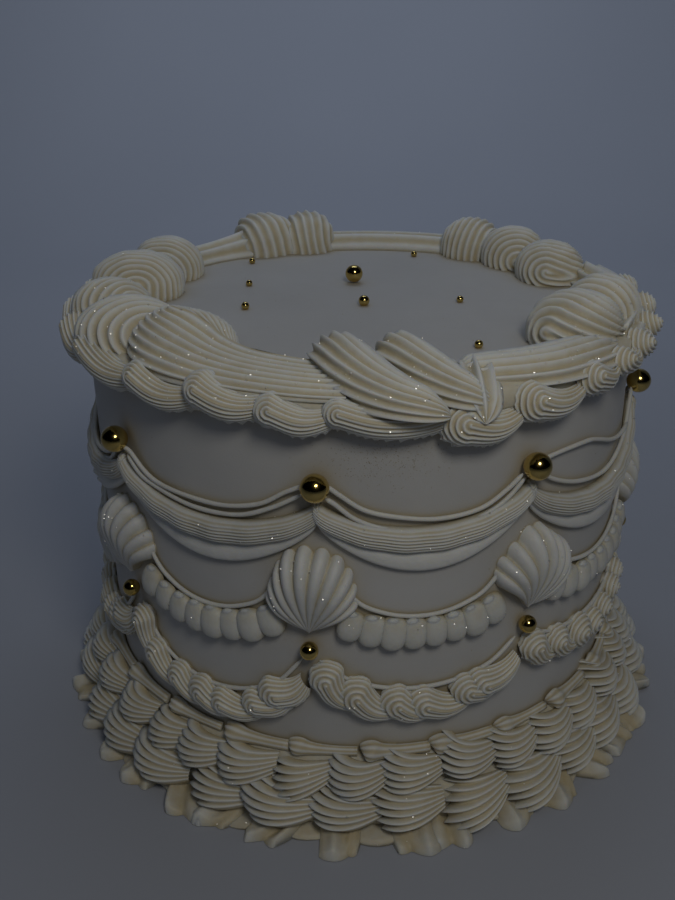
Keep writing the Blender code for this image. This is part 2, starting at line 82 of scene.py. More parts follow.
# The strings of the three bays at the front: angle, height as a share of RADIUS, mm out from the wall.
STRINGS = (
    ((-49.0, 1.262, 2.4), (-47.2, 1.253, 1.6), (-43.7, 1.201, 0.9), (-39.5, 1.178, 0.8), (-31.8, 1.170, 0.8),
     (-24.2, 1.172, 0.8), (-17.4, 1.200, 0.8), (-12.7, 1.250, 0.9), (-9.0, 1.284, 1.6)),
    ((-48.0, 1.236, 1.8), (-44.5, 1.182, 1.2), (-39.5, 1.160, 0.9), (-31.0, 1.140, 0.9), (-22.0, 1.148, 0.9),
     (-15.5, 1.190, 0.9), (-9.5, 1.252, 1.4)),
    ((-5.4, 1.284, 1.6), (-3.2, 1.250, 0.9), (1.0, 1.200, 0.8), (7.0, 1.172, 0.8), (14.1, 1.156, 0.8),
     (21.5, 1.169, 0.8), (26.4, 1.213, 0.9), (29.5, 1.262, 1.6)),
    ((-5.6, 1.240, 1.4), (-4.1, 1.222, 1.2), (-0.7, 1.172, 1.0), (4.4, 1.136, 1.0), (10.4, 1.120, 1.0),
     (17.6, 1.126, 1.0), (23.2, 1.152, 1.0), (27.1, 1.190, 1.0), (30.0, 1.246, 1.6)),
    ((32.6, 1.276, 1.8), (35.2, 1.286, 0.9), (40.5, 1.290, 0.8), (47.3, 1.282, 0.8), (51.5, 1.260, 0.8),
     (57.0, 1.224, 0.8), (63.0, 1.200, 0.8), (70.5, 1.196, 1.2)),
    ((33.2, 1.262, 1.4), (37.0, 1.205, 0.9), (45.0, 1.150, 0.9), (56.0, 1.122, 0.9), (66.0, 1.160, 0.9),
     (74.0, 1.222, 0.9), (79.6, 1.272, 1.4)),
)

# Garlands: the height of their ends, how far each sags as a share of RADIUS, and the tabs' spacing in
# degrees or the shells' in metres.
BEAD_END_Z = 0.815 * RADIUS
BEAD_SAGS = (0.085, 0.060, 0.055, 0.075, 0.070, 0.080, 0.065, 0.075)
BEAD_PITCH = 4.1
BEAD_CLEARANCE = 5.4
ROPE_END_Z = 0.575 * RADIUS
ROPE_SAGS = (0.195, 0.125, 0.085, 0.150, 0.130, 0.160, 0.140, 0.170)
ROPE_PITCH = 0.0104

# The fans: the height of their tails, the lengths of their ridges in mm, in the middle and at both edges,
# their depth in mm, how far they spread to each side, and how each one is bent and turned.
FAN_LOW_Z = 0.760 * RADIUS
FAN_LENGTHS = (24.6, 14.0, 14.0)
FAN_DEPTH = 7.2
FAN_SPREAD = 57.0
FAN_TWISTS = (12.0, 3.0, -12.0, 8.0, -8.0, 10.0, -8.0, 8.0)
FAN_TILTS = (-18.0, 0.0, 22.0, 3.0, -3.0, 2.0, -2.0, 4.0)

# Shells under the top edge: angle of the left end, rise and width in mm, lean, width of the tail as a share.
# They overlap by some degrees.  The one numbered RIM_BAND is long, and those between the angles of
# RIM_BEHIND are plainer.  RIM_CORE is the outline of the icing behind them.
RIM_Z = 1.522 * RADIUS
RIM_SHELLS = (
    (-61.8, 0.2, 10.2, 2.0, 0.60), (-43.3, 0.1, 10.0, 2.0, 0.60), (-29.7, 0.5, 10.6, 3.0, 0.62),
    (-17.1, -1.6, 9.8, 2.0, 0.60), (-6.0, -2.2, 8.6, 0.0, 0.90), (12.8, -4.4, 11.6, -3.0, 0.42),
    (26.0, -2.6, 11.2, -3.0, 0.42), (39.5, -1.2, 9.8, -1.0, 0.48), (50.0, -0.8, 8.4, 0.0, 0.55),
    (60.2, -0.8, 9.2, 2.0, 0.60), (71.5, -0.8, 10.0, 2.0, 0.60), (83.0, -0.8, 10.4, 3.0, 0.60),
    (95.0, -0.8, 10.4, 3.0, 0.60),
) + tuple((107.0 + 12.6 * i, -4.2, 11.6, 2.0, 0.62) for i in range(12)) + (
    (258.0, -1.0, 10.4, 3.0, 0.60), (271.0, -0.8, 10.4, 3.0, 0.60), (284.0, -0.4, 10.4, 2.0, 0.60),
)
RIM_OVERLAP = 2.2
RIM_BAND = 4
RIM_BEHIND = (100.0, 250.0)
RIM_CORE = (
    (RADIUS - 0.006, TOP - 0.001), (RADIUS - 0.001, TOP + 0.0022), (WALL + 0.0020, TOP + 0.0008),
    (WALL + 0.0028, 0.1235), (WALL, 0.1205),
)

# The height of the line above the base shells, and where the leaves on the floor start and hardly go past.
BASE_BEADS_Z = 0.0232
LEAF_ROOT = RADIUS * 1.060
LEAF_LIMIT = 0.0990

# Which share of the glitter lies on each piece, and the way that a flake faces to glint in the key light.
GLITTER_SHARES = (
    ("front_top_curls", 0.24), ("back_top_curls", 0.06), ("rim_curls", 0.24), ("shell_garlands", 0.12),
    ("scallop_fans", 0.08), ("base_lower_curls", 0.10), ("base_upper_curls", 0.08), ("swag_ribbons", 0.06),
    ("bead_garlands", 0.06), ("floor_ruffle", 0.04),
)
GLINT = np.array([0.14, -0.77, 0.62])

# Colours of the piping: on the ridges, half way down, and in the valleys.
# The ridges are lighter as painted light, and the valleys darker and yellower as painted shade and warm
# bounce light.
CREAM = ((0.76, 0.755, 0.71), (0.69, 0.675, 0.60), (0.58, 0.50, 0.33))
PALE = ((0.66, 0.655, 0.62), (0.61, 0.60, 0.54), (0.52, 0.46, 0.32))
# The copy for the foot is darker and yellower: partly its own warmer colour, partly painted shade at the
# foot of the cake.
WARM_SHADED = ((0.69, 0.68, 0.63), (0.62, 0.60, 0.52), (0.52, 0.44, 0.28))

# The camera: its place, angles, and focal length as a share of the picture's height.
CAMERA_BACK = 3.695 * RADIUS
CAMERA_HEIGHT = 2.632 * RADIUS
CAMERA_PITCH = 24.67
CAMERA_YAW = -1.34
CAMERA_ROLL = -0.77
CAMERA_FOCAL = 1013.1 / 900.0
SENSOR = 36.0

# The floor: how far it goes on flat behind the cake, and the radius of its bend.
FLOOR_FLAT = 0.55
FLOOR_BEND = 0.45


# ---------------------------------------------------------------- places and curves

def evenly(count):
    """Values from 0 to 1."""
    return np.linspace(0.0, 1.0, count)


def circle(count):
    """Angles once round, in radians."""
    return np.linspace(0.0, 2.0 * pi, count, endpoint=False)


def dome(x, power=2):
    """How high a rounded dome is at x: 1 at 0, and 0 from 1 on."""
    return sqrt(maximum(0.0, 1.0 - np.abs(x) ** power))


def hang(t):
    """How far a swag hangs down at a share t of its way: 0 at its ends, 1 in its middle."""
    return maximum(0.0, 4.0 * t * (1.0 - t)) ** 0.7


def bay(index):
    """The angles of both ends of a bay."""
    start = PEAKS[index]
    end = PEAKS[(index + 1) % BAYS]
    return start, end + 360.0 if end < start else end


def garland_ends(index, clear):
    """The angles of both ends of a garland that keeps clear of the fans by some degrees."""
    start, end = bay(index)
    after = (index + 1) % BAYS
    return start + FAN_SHIFTS[index] + clear, end + FAN_SHIFTS[after] - clear


def around(angle, radius, z):
    """Points at an angle, a distance from the axis and a height, as rows of x, y, z."""
    turn = radians(angle)
    x, y, z = np.broadcast_arrays(radius * sin(turn), -radius * cos(turn), z)
    return np.stack([x, y, z], axis=-1)


def on_wall(angle, z, right, up, out, tilt=0.0, base=WALL):
    """Points to the right, up and out from a place on the wall.  tilt: how far outward points up."""
    lean = radians(tilt)
    reach = base + out * cos(lean) - up * sin(lean)
    rise = up * cos(lean) + out * sin(lean)
    return around(angle + degrees(right / base), reach, z + rise)


def wall_frame(angle):
    """Right, up and outward unit vectors on the wall."""
    turn = radians(angle)
    right = np.array([cos(turn), sin(turn), 0.0])
    out = np.array([sin(turn), -cos(turn), 0.0])
    return right, UP, out


def unit(rows):
    return rows / maximum(np.linalg.norm(rows, axis=-1, keepdims=True), 1e-12)


def along_path(centre, up):
    """Side and up vectors of a path, for a given rough up direction."""
    ahead = unit(np.gradient(centre, axis=0))
    side = unit(np.cross(ahead, np.broadcast_to(up, centre.shape)))
    return side, unit(np.cross(side, ahead))


def spline(rows, count):
    """A smooth curve through the rows, sampled count times."""
    rows = np.asarray(rows, float)
    padded = np.vstack([2.0 * rows[0] - rows[1], rows, 2.0 * rows[-1] - rows[-2]])
    t = np.linspace(0.0, len(rows) - 1.0, count)
    i = minimum(t.astype(int), len(rows) - 2)
    f = (t - i)[:, None]
    a, b, c, d = padded[i], padded[i + 1], padded[i + 2], padded[i + 3]
    return 0.5 * (2 * b + (c - a) * f + (2 * a - 5 * b + 4 * c - d) * f**2 + (3 * b - a - 3 * c + d) * f**3)


def wobble(points, scale, seed):
    """Smooth uneven values from -1 to 1 at the points."""
    draw = np.random.default_rng(seed)
    total = np.zeros(points.shape[:-1])
    for _ in range(5):
        way = draw.normal(size=3) * scale
        total += sin(points @ way + draw.uniform(0.0, 6.28))
    return total / 5.0


def ribs(phase, sharp=1.15):
    """0 on the ridges and 1 in the valleys between them."""
    return np.abs(cos(pi * phase)) ** sharp


def even_turns(width, height, first, last, count):
    """Angles that divide an elliptical section evenly, a row for each width and height."""
    fine = radians(np.linspace(first, last, 160))
    step = np.hypot(np.diff(cos(fine)) * width[:, None], np.diff(sin(fine)) * height[:, None])
    run = np.concatenate([np.zeros((len(width), 1)), np.cumsum(step, axis=1)], axis=1)
    share = np.linspace(0.0, 1.0, count)
    return np.stack([np.interp(share, row / row[-1], fine) for row in run])


def carve(points, depth):
    """The points of an open grid, moved inwards by a depth."""
    normal = unit(np.cross(np.gradient(points, axis=0), np.gradient(points, axis=1)))
    return points - normal * depth[..., None]


def saw_teeth(rows, draw):
    """Uneven saw teeth along a torn edge, from -1 to 1, as a column."""
    teeth = np.zeros(rows)
    k = 0
    while k < rows:
        length = int(draw.integers(3, 6))
        tall = draw.uniform(0.4, 1.0)
        part = np.linspace(-1.0, 1.0, length) * tall
        teeth[k:k + length] = part[:rows - k]
        k += length
    return teeth[:, None]


def round_off(distance, length):
    """How a rope closes towards its end: 0 at the end, 1 from a length in mm on."""
    if not length:
        return np.ones_like(distance)
    return dome(clip(1.0 - distance / (length * MM), 0.0, 1.0))


def beside(*parts):
    """Grids put side by side."""
    return np.concatenate(parts, axis=1)


class Skin:
    """Vertices and faces of one piece, gathered from many grids, with a groove value at each vertex, which
    the piping's colour follows as painted light and shade.
    """

    def __init__(self, name):
        self.name = name
        self.points = []
        self.grooves = []
        self.quads = []
        self.triangles = []
        self.count = 0

    def add(self, points, groove):
        """Put in points with their groove values, and give back their numbers."""
        numbers = self.count + np.arange(len(points))
        self.points.append(points)
        self.grooves.append(np.asarray(groove, float))
        self.count += len(points)
        return numbers

    def grid(self, points, groove=0.0, wrap=True, caps=True):
        """A grid of points in rows.  Its columns meet round if wrap, its end rows are closed if caps."""
        shape = points.shape[:2]
        index = self.add(points.reshape(-1, 3), np.broadcast_to(groove, shape).reshape(-1)).reshape(shape)
        right = np.roll(index, -1, axis=1) if wrap else index[:, 1:]
        left = index if wrap else index[:, :-1]
        quads = np.stack([left[:-1], right[:-1], right[1:], left[1:]], axis=-1)
        self.quads.append(quads.reshape(-1, 4))
        if caps and wrap:
            self.cap(index[0], points[0], True)
            self.cap(index[-1], points[-1], False)

    def sheet(self, points, groove=0.0):
        """An open grid of points in rows."""
        self.grid(points, groove, wrap=False, caps=False)

    def cap(self, edge, points, flip):
        """Close a row with a fan of triangles."""
        hub = np.full(len(edge), self.add(points.mean(axis=0)[None], [0.5])[0])
        after = np.roll(edge, -1)
        fan = (after, edge, hub) if flip else (edge, after, hub)
        self.triangles.append(np.stack(fan, axis=-1))

    def item(self, material):
        """The piece as an object in the scene.  Nothing in it goes under the floor."""
        points = np.vstack(self.points)
        points[:, 2] = maximum(points[:, 2], 0.0)
        faces = np.vstack(self.quads).tolist()
        if self.triangles:
            faces += np.vstack(self.triangles).tolist()
        mesh = bpy.data.meshes.new(self.name)
        mesh.from_pydata(points, [], faces)
        mesh.validate()
        groove = mesh.attributes.new("groove", "FLOAT", "POINT")
        groove.data.foreach_set("value", np.concatenate(self.grooves).astype(np.float32))
        mesh.shade_smooth()
        mesh.materials.append(material)
        item = bpy.data.objects.new(self.name, mesh)
        bpy.context.scene.collection.objects.link(item)
        return item

    def make(self, material, replaces=()):
        """The piece as a part of the cake."""
        item = self.item(material)
        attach(item, "root")
        if replaces:
            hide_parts(*replaces)
        return item


# ---------------------------------------------------------------- shapes

def ball(skin, place, radius, rings, sides, squash=(1.0, 1.0, 1.0), axes=None, groove=0.0):
    """A ball, or an egg if it is squashed along its axes."""
    polar = np.linspace(0.02, pi - 0.02, rings)[:, None]
    azimuth = circle(sides)[None, :]
    x = sin(polar) * cos(azimuth) * squash[0]
    y = sin(polar) * sin(azimuth) * squash[1]
    z = cos(polar) * np.ones_like(azimuth) * squash[2]
    shape = np.stack([x, y, z], axis=-1) * radius
    if axes is not None:
        shape = shape @ np.asarray(axes)
    skin.grid(shape + place, groove)


def string(skin, points, stations=48, sides=8):
    """A thin round line on the wall.  Points: angle, height as a share of RADIUS, mm out from the wall."""
    path = spline(points, stations)
    centre = around(path[:, 0], WALL + path[:, 2] * MM, path[:, 1] * RADIUS)
    side, up = along_path(centre, around(path[:, 0], 1.0, 0.0))
    turn = circle(sides)[None, :, None]
    ends = minimum(1.0, minimum(np.arange(stations), np.arange(stations)[::-1]) / 2.0 + 0.3)
    uneven = 1.0 + 0.10 * wobble(centre, 500.0, stations)
    thick = (STRING_RADIUS * ends * uneven)[:, None, None]
    ring = side[:, None, :] * cos(turn) + up[:, None, :] * sin(turn)
    skin.grid(centre[:, None, :] + thick * ring, 0.25)


def ring_core(skin, outline):
    """A plain ring of icing behind a row of shells.  Outline: distance from the axis, height."""
    outline = np.array(outline)
    angle = degrees(circle(120))[:, None]
    points = around(angle, outline[None, :, 0], outline[None, :, 1])
    # Its colour lies near the valleys', as painted shade behind the shells.
    skin.grid(np.concatenate([points, points[:1]]), 0.7, caps=False)


def sweep(skin, centre, side, up, half, high, count, depth=0.52, low=28.0, lift=0.35, per=6, head=0.0,
          tail=0.0, teeth=0.0, ragged=0.0, seed=0):
    """A rope with ridges along its path.  Its section is a dome, half a width to each side and high.

    count: of the ridges, with per columns for each.  depth: of the valleys, as a share of the ridges'
    spacing.  lift: the height of the dome's widest place, as a share, and low: how far it goes on
    below that.  head, tail: how long the rounded ends are, and teeth: how far the ridges stick out at
    the head, in mm.  ragged: a torn lower edge.
    """
    run = np.concatenate([[0.0], np.cumsum(np.linalg.norm(np.diff(centre, axis=0), axis=1))])
    closing = maximum(round_off(run, head) * round_off(run[-1] - run, tail), 0.02)
    half = half * closing
    high = high * closing
    columns = count * per + 1
    turn = even_turns(half, (1.0 - lift) * high, 180.0 + low, -low, columns)
    half, high = half[:, None], high[:, None]
    x = half * cos(turn)
    y = lift * high + (high - lift * high) * sin(turn)
    dx = np.gradient(x, axis=1)
    dy = np.gradient(y, axis=1)
    size = maximum(sqrt(dx**2 + dy**2), 1e-9)
    pitch = size.sum(axis=1, keepdims=True) / count
    u = evenly(columns)[None, :]
    valley = ribs(count * u)
    inward = np.reshape(depth, (-1, 1)) * pitch * valley
    if ragged:
        torn = saw_teeth(len(centre), np.random.default_rng(seed))
        inward = inward + ragged * pitch * torn * maximum(0.0, 1.0 - u / 0.20)
    x = x + dy / size * inward
    y = y - dx / size * inward
    under = evenly(5)[None, 1:-1]
    x = beside(x, x[:, -1:] + (x[:, :1] - x[:, -1:]) * under)
    y = beside(y, y[:, -1:] + (y[:, :1] - y[:, -1:]) * under)
    # The closed underside takes the full valley colour, as painted shade under the rope.
    groove = beside(np.broadcast_to(valley, (len(centre), columns)), np.ones((len(centre), 3)))
    points = centre[:, None, :] + side[:, None, :] * x[..., None] + up[:, None, :] * y[..., None]
    if teeth:
        fade = maximum(0.0, 1.0 - run / 0.006)[:, None]
        ahead = unit(np.gradient(centre, axis=0))
        points = points - ahead[:, None, :] * (teeth * MM * fade * (0.5 - groove))[..., None]
    skin.grid(points, groove)


def top_rope(skin, rows, count, stations, **more):
    """A rope on the top.  Rows: angle, distance as a share of RADIUS, mm up, half width and height in mm."""
    rows = np.asarray(rows, float)
    start = around(rows[:, 0], rows[:, 1] * RADIUS, TOP + rows[:, 2] * MM)
    path = spline(np.hstack([start, rows[:, 3:] * MM]), stations)
    side, _ = along_path(path[:, :3] * FLAT, UP)
    half, high = maximum(path[:, 3:], 0.0003).T
    sweep(skin, path[:, :3], side, np.broadcast_to(UP, side.shape), half, high, count, **more)


def wall_rope(skin, angle, z, rows, count, stations, tilt, **more):
    """A rope on the wall.  Rows: mm to the right, up and out, half width and height in mm."""
    path = spline(rows, stations) * MM
    centre = on_wall(angle, z, path[:, 0], path[:, 1], path[:, 2], tilt)
    lean = radians(tilt)
    side, up = along_path(centre, unit(centre * FLAT) * cos(lean) + UP * sin(lean))
    half, high = maximum(path[:, 3:], 0.0002).T
    sweep(skin, centre, side, up, half, high, count, **more)


def fold(skin, rows, count, stations, per, depth=0.5, low=25.0, lift=0.30):
    """A folded shell on the top that slopes down from its seam to its foot.

    Rows: angle of the seam and its distance as a share of RADIUS, the same of the foot, the height in
    mm, and by how many ridges they are shifted.
    """
    path = spline(rows, stations)
    seam = around(path[:, 0], path[:, 1] * RADIUS, TOP)
    foot = around(path[:, 2], path[:, 3] * RADIUS, TOP)
    height = path[:, 4] * MM
    width = np.linalg.norm(foot - seam, axis=1)
    turn = even_turns(width, (1.0 - lift) * height, 90.0, -low, count * per + 1)
    spread = cos(turn)[..., None]
    points = seam[:, None, :] * (1.0 - spread) + foot[:, None, :] * spread
    points[..., 2] += height[:, None] * (lift + (1.0 - lift) * sin(turn))
    u = evenly(count * per + 1)[None, :]
    valley = ribs(count * u + path[:, 5:6])
    girth = np.hypot(width, height)[:, None]
    points = carve(points, depth * girth / count * valley * minimum(1.0, 8.0 * u))
    skin.sheet(points, valley)


def globe(compass, rise, rings, sides):
    """Directions on a ball whose pole has a compass angle and a height angle, and their polar angles."""
    polar = np.linspace(0.004, pi - 0.004, rings)[:, None]
    azimuth = circle(sides)[None, :]
    compass = radians(compass)
    rise = radians(rise)
    axis = np.array([sin(compass) * cos(rise), -cos(compass) * cos(rise), sin(rise)])
    first = unit(np.cross(axis, UP))
    second = np.cross(first, axis)
    ring = first * cos(azimuth)[..., None] + second * sin(azimuth)[..., None]
    return axis * cos(polar)[..., None] + ring * sin(polar)[..., None], polar, azimuth


def rosette(skin, angle, reach, size, height, eye, count, spin=0.0, spiral=0.0, depth=0.42, sink=0.25,
            rings=96, sides=72, seed=0, square=2.15, uneven=0.35, slot=None, narrow=0.45):
    """A dome on the top with ridges that circle round an eye.

    reach: its distance from the axis as a share of RADIUS.  size: half length and half width in mm,
    turned by spin.  height: in mm.  eye: compass angle and height angle of the eye, seen from the
    middle.  slot: the way the eye is drawn out, from straight down.  narrow: how quickly the ridges
    follow each other that way, as a share.
    """
    ball, polar, azimuth = globe(eye[0], eye[1], rings, sides)
    away = polar
    if slot is not None:
        turned = azimuth + radians(90.0 - slot)
        share = np.where(cos(turned) > 0.0, narrow, 1.0)
        away = polar * np.hypot(share * cos(turned), sin(turned))
    phase = count * away / pi + spiral * azimuth / (2.0 * pi)
    valley = ribs(phase + uneven * wobble(ball, 1.6, seed) * minimum(1.0, polar))
    half_height = height * MM / (1.0 + sink)
    turn = radians(spin)
    axes = np.array([(cos(turn), sin(turn), 0.0), (-sin(turn), cos(turn), 0.0), UP])
    reaches = np.array([size[0] * MM, size[1] * MM, half_height])
    local = ball @ axes.T
    local = local / (np.abs(local) ** square).sum(axis=-1, keepdims=True) ** (1.0 / square)
    normal = unit(local / reaches)
    pitch = (reaches.mean() * pi) / count
    shape = local * reaches - normal * (depth * pitch * valley * minimum(1.0, polar / 0.35))[..., None]
    shape += normal * (0.0003 * wobble(local * reaches, 500.0, seed))[..., None]
    centre = around(angle, reach * RADIUS, TOP + sink * half_height)
    skin.grid(shape @ axes + centre, valley)


def curl(skin, angle, z, size, count, lean, seed, per, stations, torn, thin, tilt=0.0):
    """A shell on the wall whose ridges run to the left, round its head and back over it.

    size: its length, width and depth in mm.  count: of the ridges, with per columns for each.  lean:
    how far its head is raised.  torn: the teeth of its lower edge, in mm.  thin: the width of its
    tail, as a share.
    """
    long, tall, deep = size
    draw = np.random.default_rng(seed)
    t = evenly(stations)
    turned = clip((t - 0.36) / 0.38, 0.0, 1.0)
    share = np.where(t < 0.36, t / 0.36, np.where(t > 0.74, 1.0 - (t - 0.74) / 0.26, 1.0))
    way = radians(-90.0 - 180.0 * turned)[:, None]
    half = 0.5 * tall
    reach = half * (thin + (1.0 - thin) * share) * (1.0 + 0.10 * sin(pi * turned))
    bow = min(0.10 * long, 2.2) * sin(pi * share)
    height = deep * (0.50 + 0.50 * share**0.8)
    turn = even_turns(reach, 0.75 * height, 90.0, -16.0, count * per + 1)
    u = evenly(count * per + 1)[None, :]
    edge = clip((u - 0.60) / 0.40, 0.0, 1.0) * clip(1.7 - 2.0 * turned, 0.0, 1.0)[:, None]
    spread = reach[:, None] * cos(turn) + torn * saw_teeth(stations, draw) * edge
    spread = beside(spread, reach[:, None] * 0.6)
    out = height[:, None] * (0.25 + 0.75 * sin(turn)) + 0.5 * torn * edge
    out = beside(out, np.full((stations, 1), -2.5))
    right = (-(long - 1.05 * half) * share)[:, None] + cos(way) * spread
    up = (0.16 * half * share - bow)[:, None] + sin(way) * spread
    # The column tucked against the wall takes the valley colour, as painted shade.
    valley = beside(ribs(count * u + 0.8 * turned[:, None]), np.ones((stations, 1)))
    points = np.stack([right, up, out], axis=-1)
    points = points + 0.30 * wobble(points / 6.0, 2.0, seed)[..., None]
    ridge = 0.55 * np.hypot(reach, height)[:, None] / count * valley[:, :-1] * minimum(1.0, 6.0 * u)
    points = beside(carve(points[:, :-1], ridge), points[:, -1:])
    right, up, out = np.moveaxis(points, -1, 0) * MM
    swing = radians(-lean)
    across = right * cos(swing) - up * sin(swing)
    rise = right * sin(swing) + up * cos(swing)
    skin.sheet(on_wall(angle, z, across, rise, out, tilt), valley)


def scallop(skin, angle, z, start, turns, lengths, deep, count, bend, hook=1.5, tooth=0.09, groove=0.42,
            tilt=0.0, base=WALL, rounded=True, seed=0, per=9, stations=34, nose=2.4, tail=0.30, broad=0.0,
            pointed=1.5):
    """A shell on the wall with ridges that spread from its tail.

    start: mm right and up of the tail.  turns: direction of the first and last ridge, 0 to the left and
    90 up.  lengths: mm in the middle and at both edges.  deep: its depth in mm.  bend: how far the
    ridges turn on their way, and hook: how late they do.  tooth: how much shorter the valleys are.
    groove: how deep they are.  rounded: full ridges with thin valleys.  nose: how late the end is
    rounded.  tail: how deep the tail is, as a share.  broad: how far it is spread, in mm.  pointed:
    how near to the edges the ridges grow shorter.
    """
    draw = np.random.default_rng(seed)
    u = evenly(count * per + 1)[:, None]
    v = evenly(stations)[None, :]
    across = 2.0 * u - 1.0
    valley = 1.0 - np.abs(sin(pi * count * u)) ** 0.65 if rounded else ribs(count * u)
    middle, first, last = lengths
    edge = np.where(across < 0.0, first, last)
    length = (middle + (edge - middle) * np.abs(across) ** pointed) * MM
    own = np.interp(u * count, np.arange(count + 1), draw.uniform(0.93, 1.07, count + 1))
    length = length * own * (1.0 - tooth * valley)
    turn = radians(turns[0] + (turns[1] - turns[0]) * u + bend * v**hook)
    swell = sqrt(maximum(0.0, 1.0 - 0.70 * across**2))
    rise = tail + (1.0 - tail) * sin(minimum(1.0, v / 0.70) * pi / 2.0)
    rise = rise * dome(clip((v - 0.55) / 0.45, 0.0, 1.0), nose)
    width = radians(abs(turns[1] - turns[0])) * length * v + abs(broad) * MM
    ridge = groove * minimum(width / count, 1.2 * deep * MM) * valley * minimum(1.0, rise * 1.6)
    right = start[0] * MM - length * v * cos(turn)
    up = start[1] * MM + length * v * sin(turn) + broad * MM * (u - 0.5)
    out = maximum(deep * MM * swell * rise - ridge, -0.0003)
    points = on_wall(angle, z, right, up, out, tilt, base)
    skin.sheet(points, valley * np.ones_like(v))
    # The sides down to the wall take nearly the valley colour, as painted shade.
    for pick in ((0, slice(None)), (-1, slice(None)), (slice(None), -1)):
        foot = on_wall(angle, z, right[pick], up[pick], -0.0008, tilt, base)
        skin.sheet(np.stack([points[pick], foot]), 0.9)


def tab(skin, place, across, up, out, size):
    """A rounded tab, flat behind and full in front.  size: half its width, half its length, its depth."""
    polar = np.linspace(0.03, pi - 0.03, 16)[:, None]
    azimuth = circle(22)[None, :]
    y = np.sign(cos(polar)) * np.abs(cos(polar)) ** np.where(cos(polar) > 0.0, 0.7, 1.0)
    y = y * np.ones_like(azimuth)
    ring = sin(polar) ** 0.55
    x = ring * np.sign(cos(azimuth)) * np.abs(cos(azimuth)) ** 0.80
    z = ring * sin(azimuth)
    z = np.where(z < 0.0, 0.15 * z, np.abs(z) ** 0.75) * (1.0 - 0.22 * maximum(0.0, y))
    shape = np.stack([x * size[0], y * size[1], z * size[2]], axis=-1)
    # Painted shade: darker and yellower towards the top under the lip, and at both sides where the tabs
    # overlap.
    groove = 0.40 + 0.25 * clip(y, 0.0, 1.0) + 0.4 * np.abs(cos(azimuth)) ** 8
    skin.grid(place + shape @ np.array([across, up, out]), groove)


def leaf(skin, angle, draw):
    """A soft flap that lies on the floor, pleated a little, with a torn end of two or three points."""
    across = np.linspace(-1.0, 1.0, 23)[:, None]
    v = evenly(14)[None, :]
    long = draw.uniform(13.0, 16.5) * MM
    half = draw.uniform(5.5, 7.5) * MM
    peaks = draw.uniform(0.9, 1.4)
    shift = draw.uniform(0.0, 2.0)
    torn = np.abs(((across * peaks + shift) % 2.0) - 1.0)
    side = across * half * (1.0 - draw.uniform(0.05, 0.30) * v**1.5) + draw.uniform(-4.0, 4.0) * MM * v**2
    ahead = long * v * (0.76 + 0.24 * torn - 0.14 * across**4)
    turn = radians(draw.uniform(-20.0, 20.0))
    right = side * cos(turn) + ahead * sin(turn)
    rise = 0.0044 - 0.0030 * v + 0.0016 * (torn - 0.4) * v + draw.uniform(0.2, 1.6) * MM * v**3 * torn
    rise = rise + 0.0007 * cos(across * 7.0 + angle) * sin(pi * v)
    rise = 0.0003 + maximum(rise, 0.0009) * dome(across, 12) * dome(v, 14)
    reach = LEAF_ROOT + ahead * cos(turn) - side * sin(turn)
    beyond = 0.0020 * np.tanh((reach - LEAF_LIMIT) / 0.0030)
    reach = np.where(reach > LEAF_LIMIT, LEAF_LIMIT + beyond, reach)
    theta = angle + degrees(right / LEAF_ROOT)
    # Painted shade: darkest at the root under the shells, lighter towards the torn points; the underside is
    # shaded too.
    groove = beside(1.0 - 0.70 * v * torn, np.full(reach.shape, 0.9))
    skin.grid(beside(around(theta, reach, rise), around(theta, reach, 0.0002)[:, ::-1]), groove)


# ---------------------------------------------------------------- materials

class Paint:
    """A material and its nodes."""

    def __init__(self, name):
        self.material = bpy.data.materials.new(name)
        self.material.use_nodes = True
        self.tree = self.material.node_tree
        self.shader = self.tree.nodes["Principled BSDF"]

    def fill(self, node, inputs):
        """Link or set the inputs of a node, by name or number."""
        for key, value in inputs.items():
            if hasattr(value, "links"):
                self.tree.links.new(value, node.inputs[key])
            else:
                node.inputs[key].default_value = value

    def node(self, kind, inputs=None, **settings):
        """A new node with its settings and its inputs."""
        node = self.tree.nodes.new("ShaderNode" + kind)
        for name, value in settings.items():
            setattr(node, name, value)
        self.fill(node, inputs or {})
        return node

    def noise(self, scale, detail):
        place = self.node("TexCoord").outputs["Object"]
        inputs = {"Vector": place, "Scale": scale, "Detail": detail, "Roughness": 0.55}
        return self.node("TexNoise", inputs).outputs["Fac"]

    def ramp(self, value, *stops):
        """A colour that follows a value.  Stops: value, colour."""
        node = self.node("ValToRGB", {"Fac": value})
        elements = node.color_ramp.elements
        elements[0].position = stops[0][0]
        elements[1].position = stops[-1][0]
        for place, _ in stops[1:-1]:
            elements.new(place)
        for element, (_, colour) in zip(elements, stops):
            element.color = (*colour, 1.0)
        return node.outputs["Color"]

    def times(self, a, b):
        """One colour multiplied by another."""
        inputs = {"Factor": 1.0, "A": a, "B": b}
        return self.node("Mix", inputs, data_type="RGBA", blend_type="MULTIPLY").outputs["Result"]

    def gloss(self, scale, detail, low, high):
        """Roughness that varies between two values."""
        inputs = {"Value": self.noise(scale, detail), "To Min": low, "To Max": high}
        self.fill(self.shader, {"Roughness": self.node("MapRange", inputs).outputs["Result"]})

    def bumps(self, *layers):
        """Fine bumps.  Layers: scale and detail of the noise, strength, height in metres."""
        above = {}
        for scale, detail, strength, height in layers:
            inputs = {"Height": self.noise(scale, detail), "Strength": strength, "Distance": height}
            above = {"Normal": self.node("Bump", inputs | above).outputs["Normal"]}
        self.fill(self.shader, above)

    def soft(self, colour, specular, weight, radius, scale):
        """The material, with light that goes a little way in."""
        self.fill(self.shader, {
            "Base Color": colour, "Specular IOR Level": specular, "Subsurface Weight": weight,
            "Subsurface Radius": radius, "Subsurface Scale": scale,
        })
        return self.material

    def plain(self, colour, metallic, **more):
        self.fill(self.shader, {"Base Color": colour, "Metallic": metallic} | more)
        return self.material


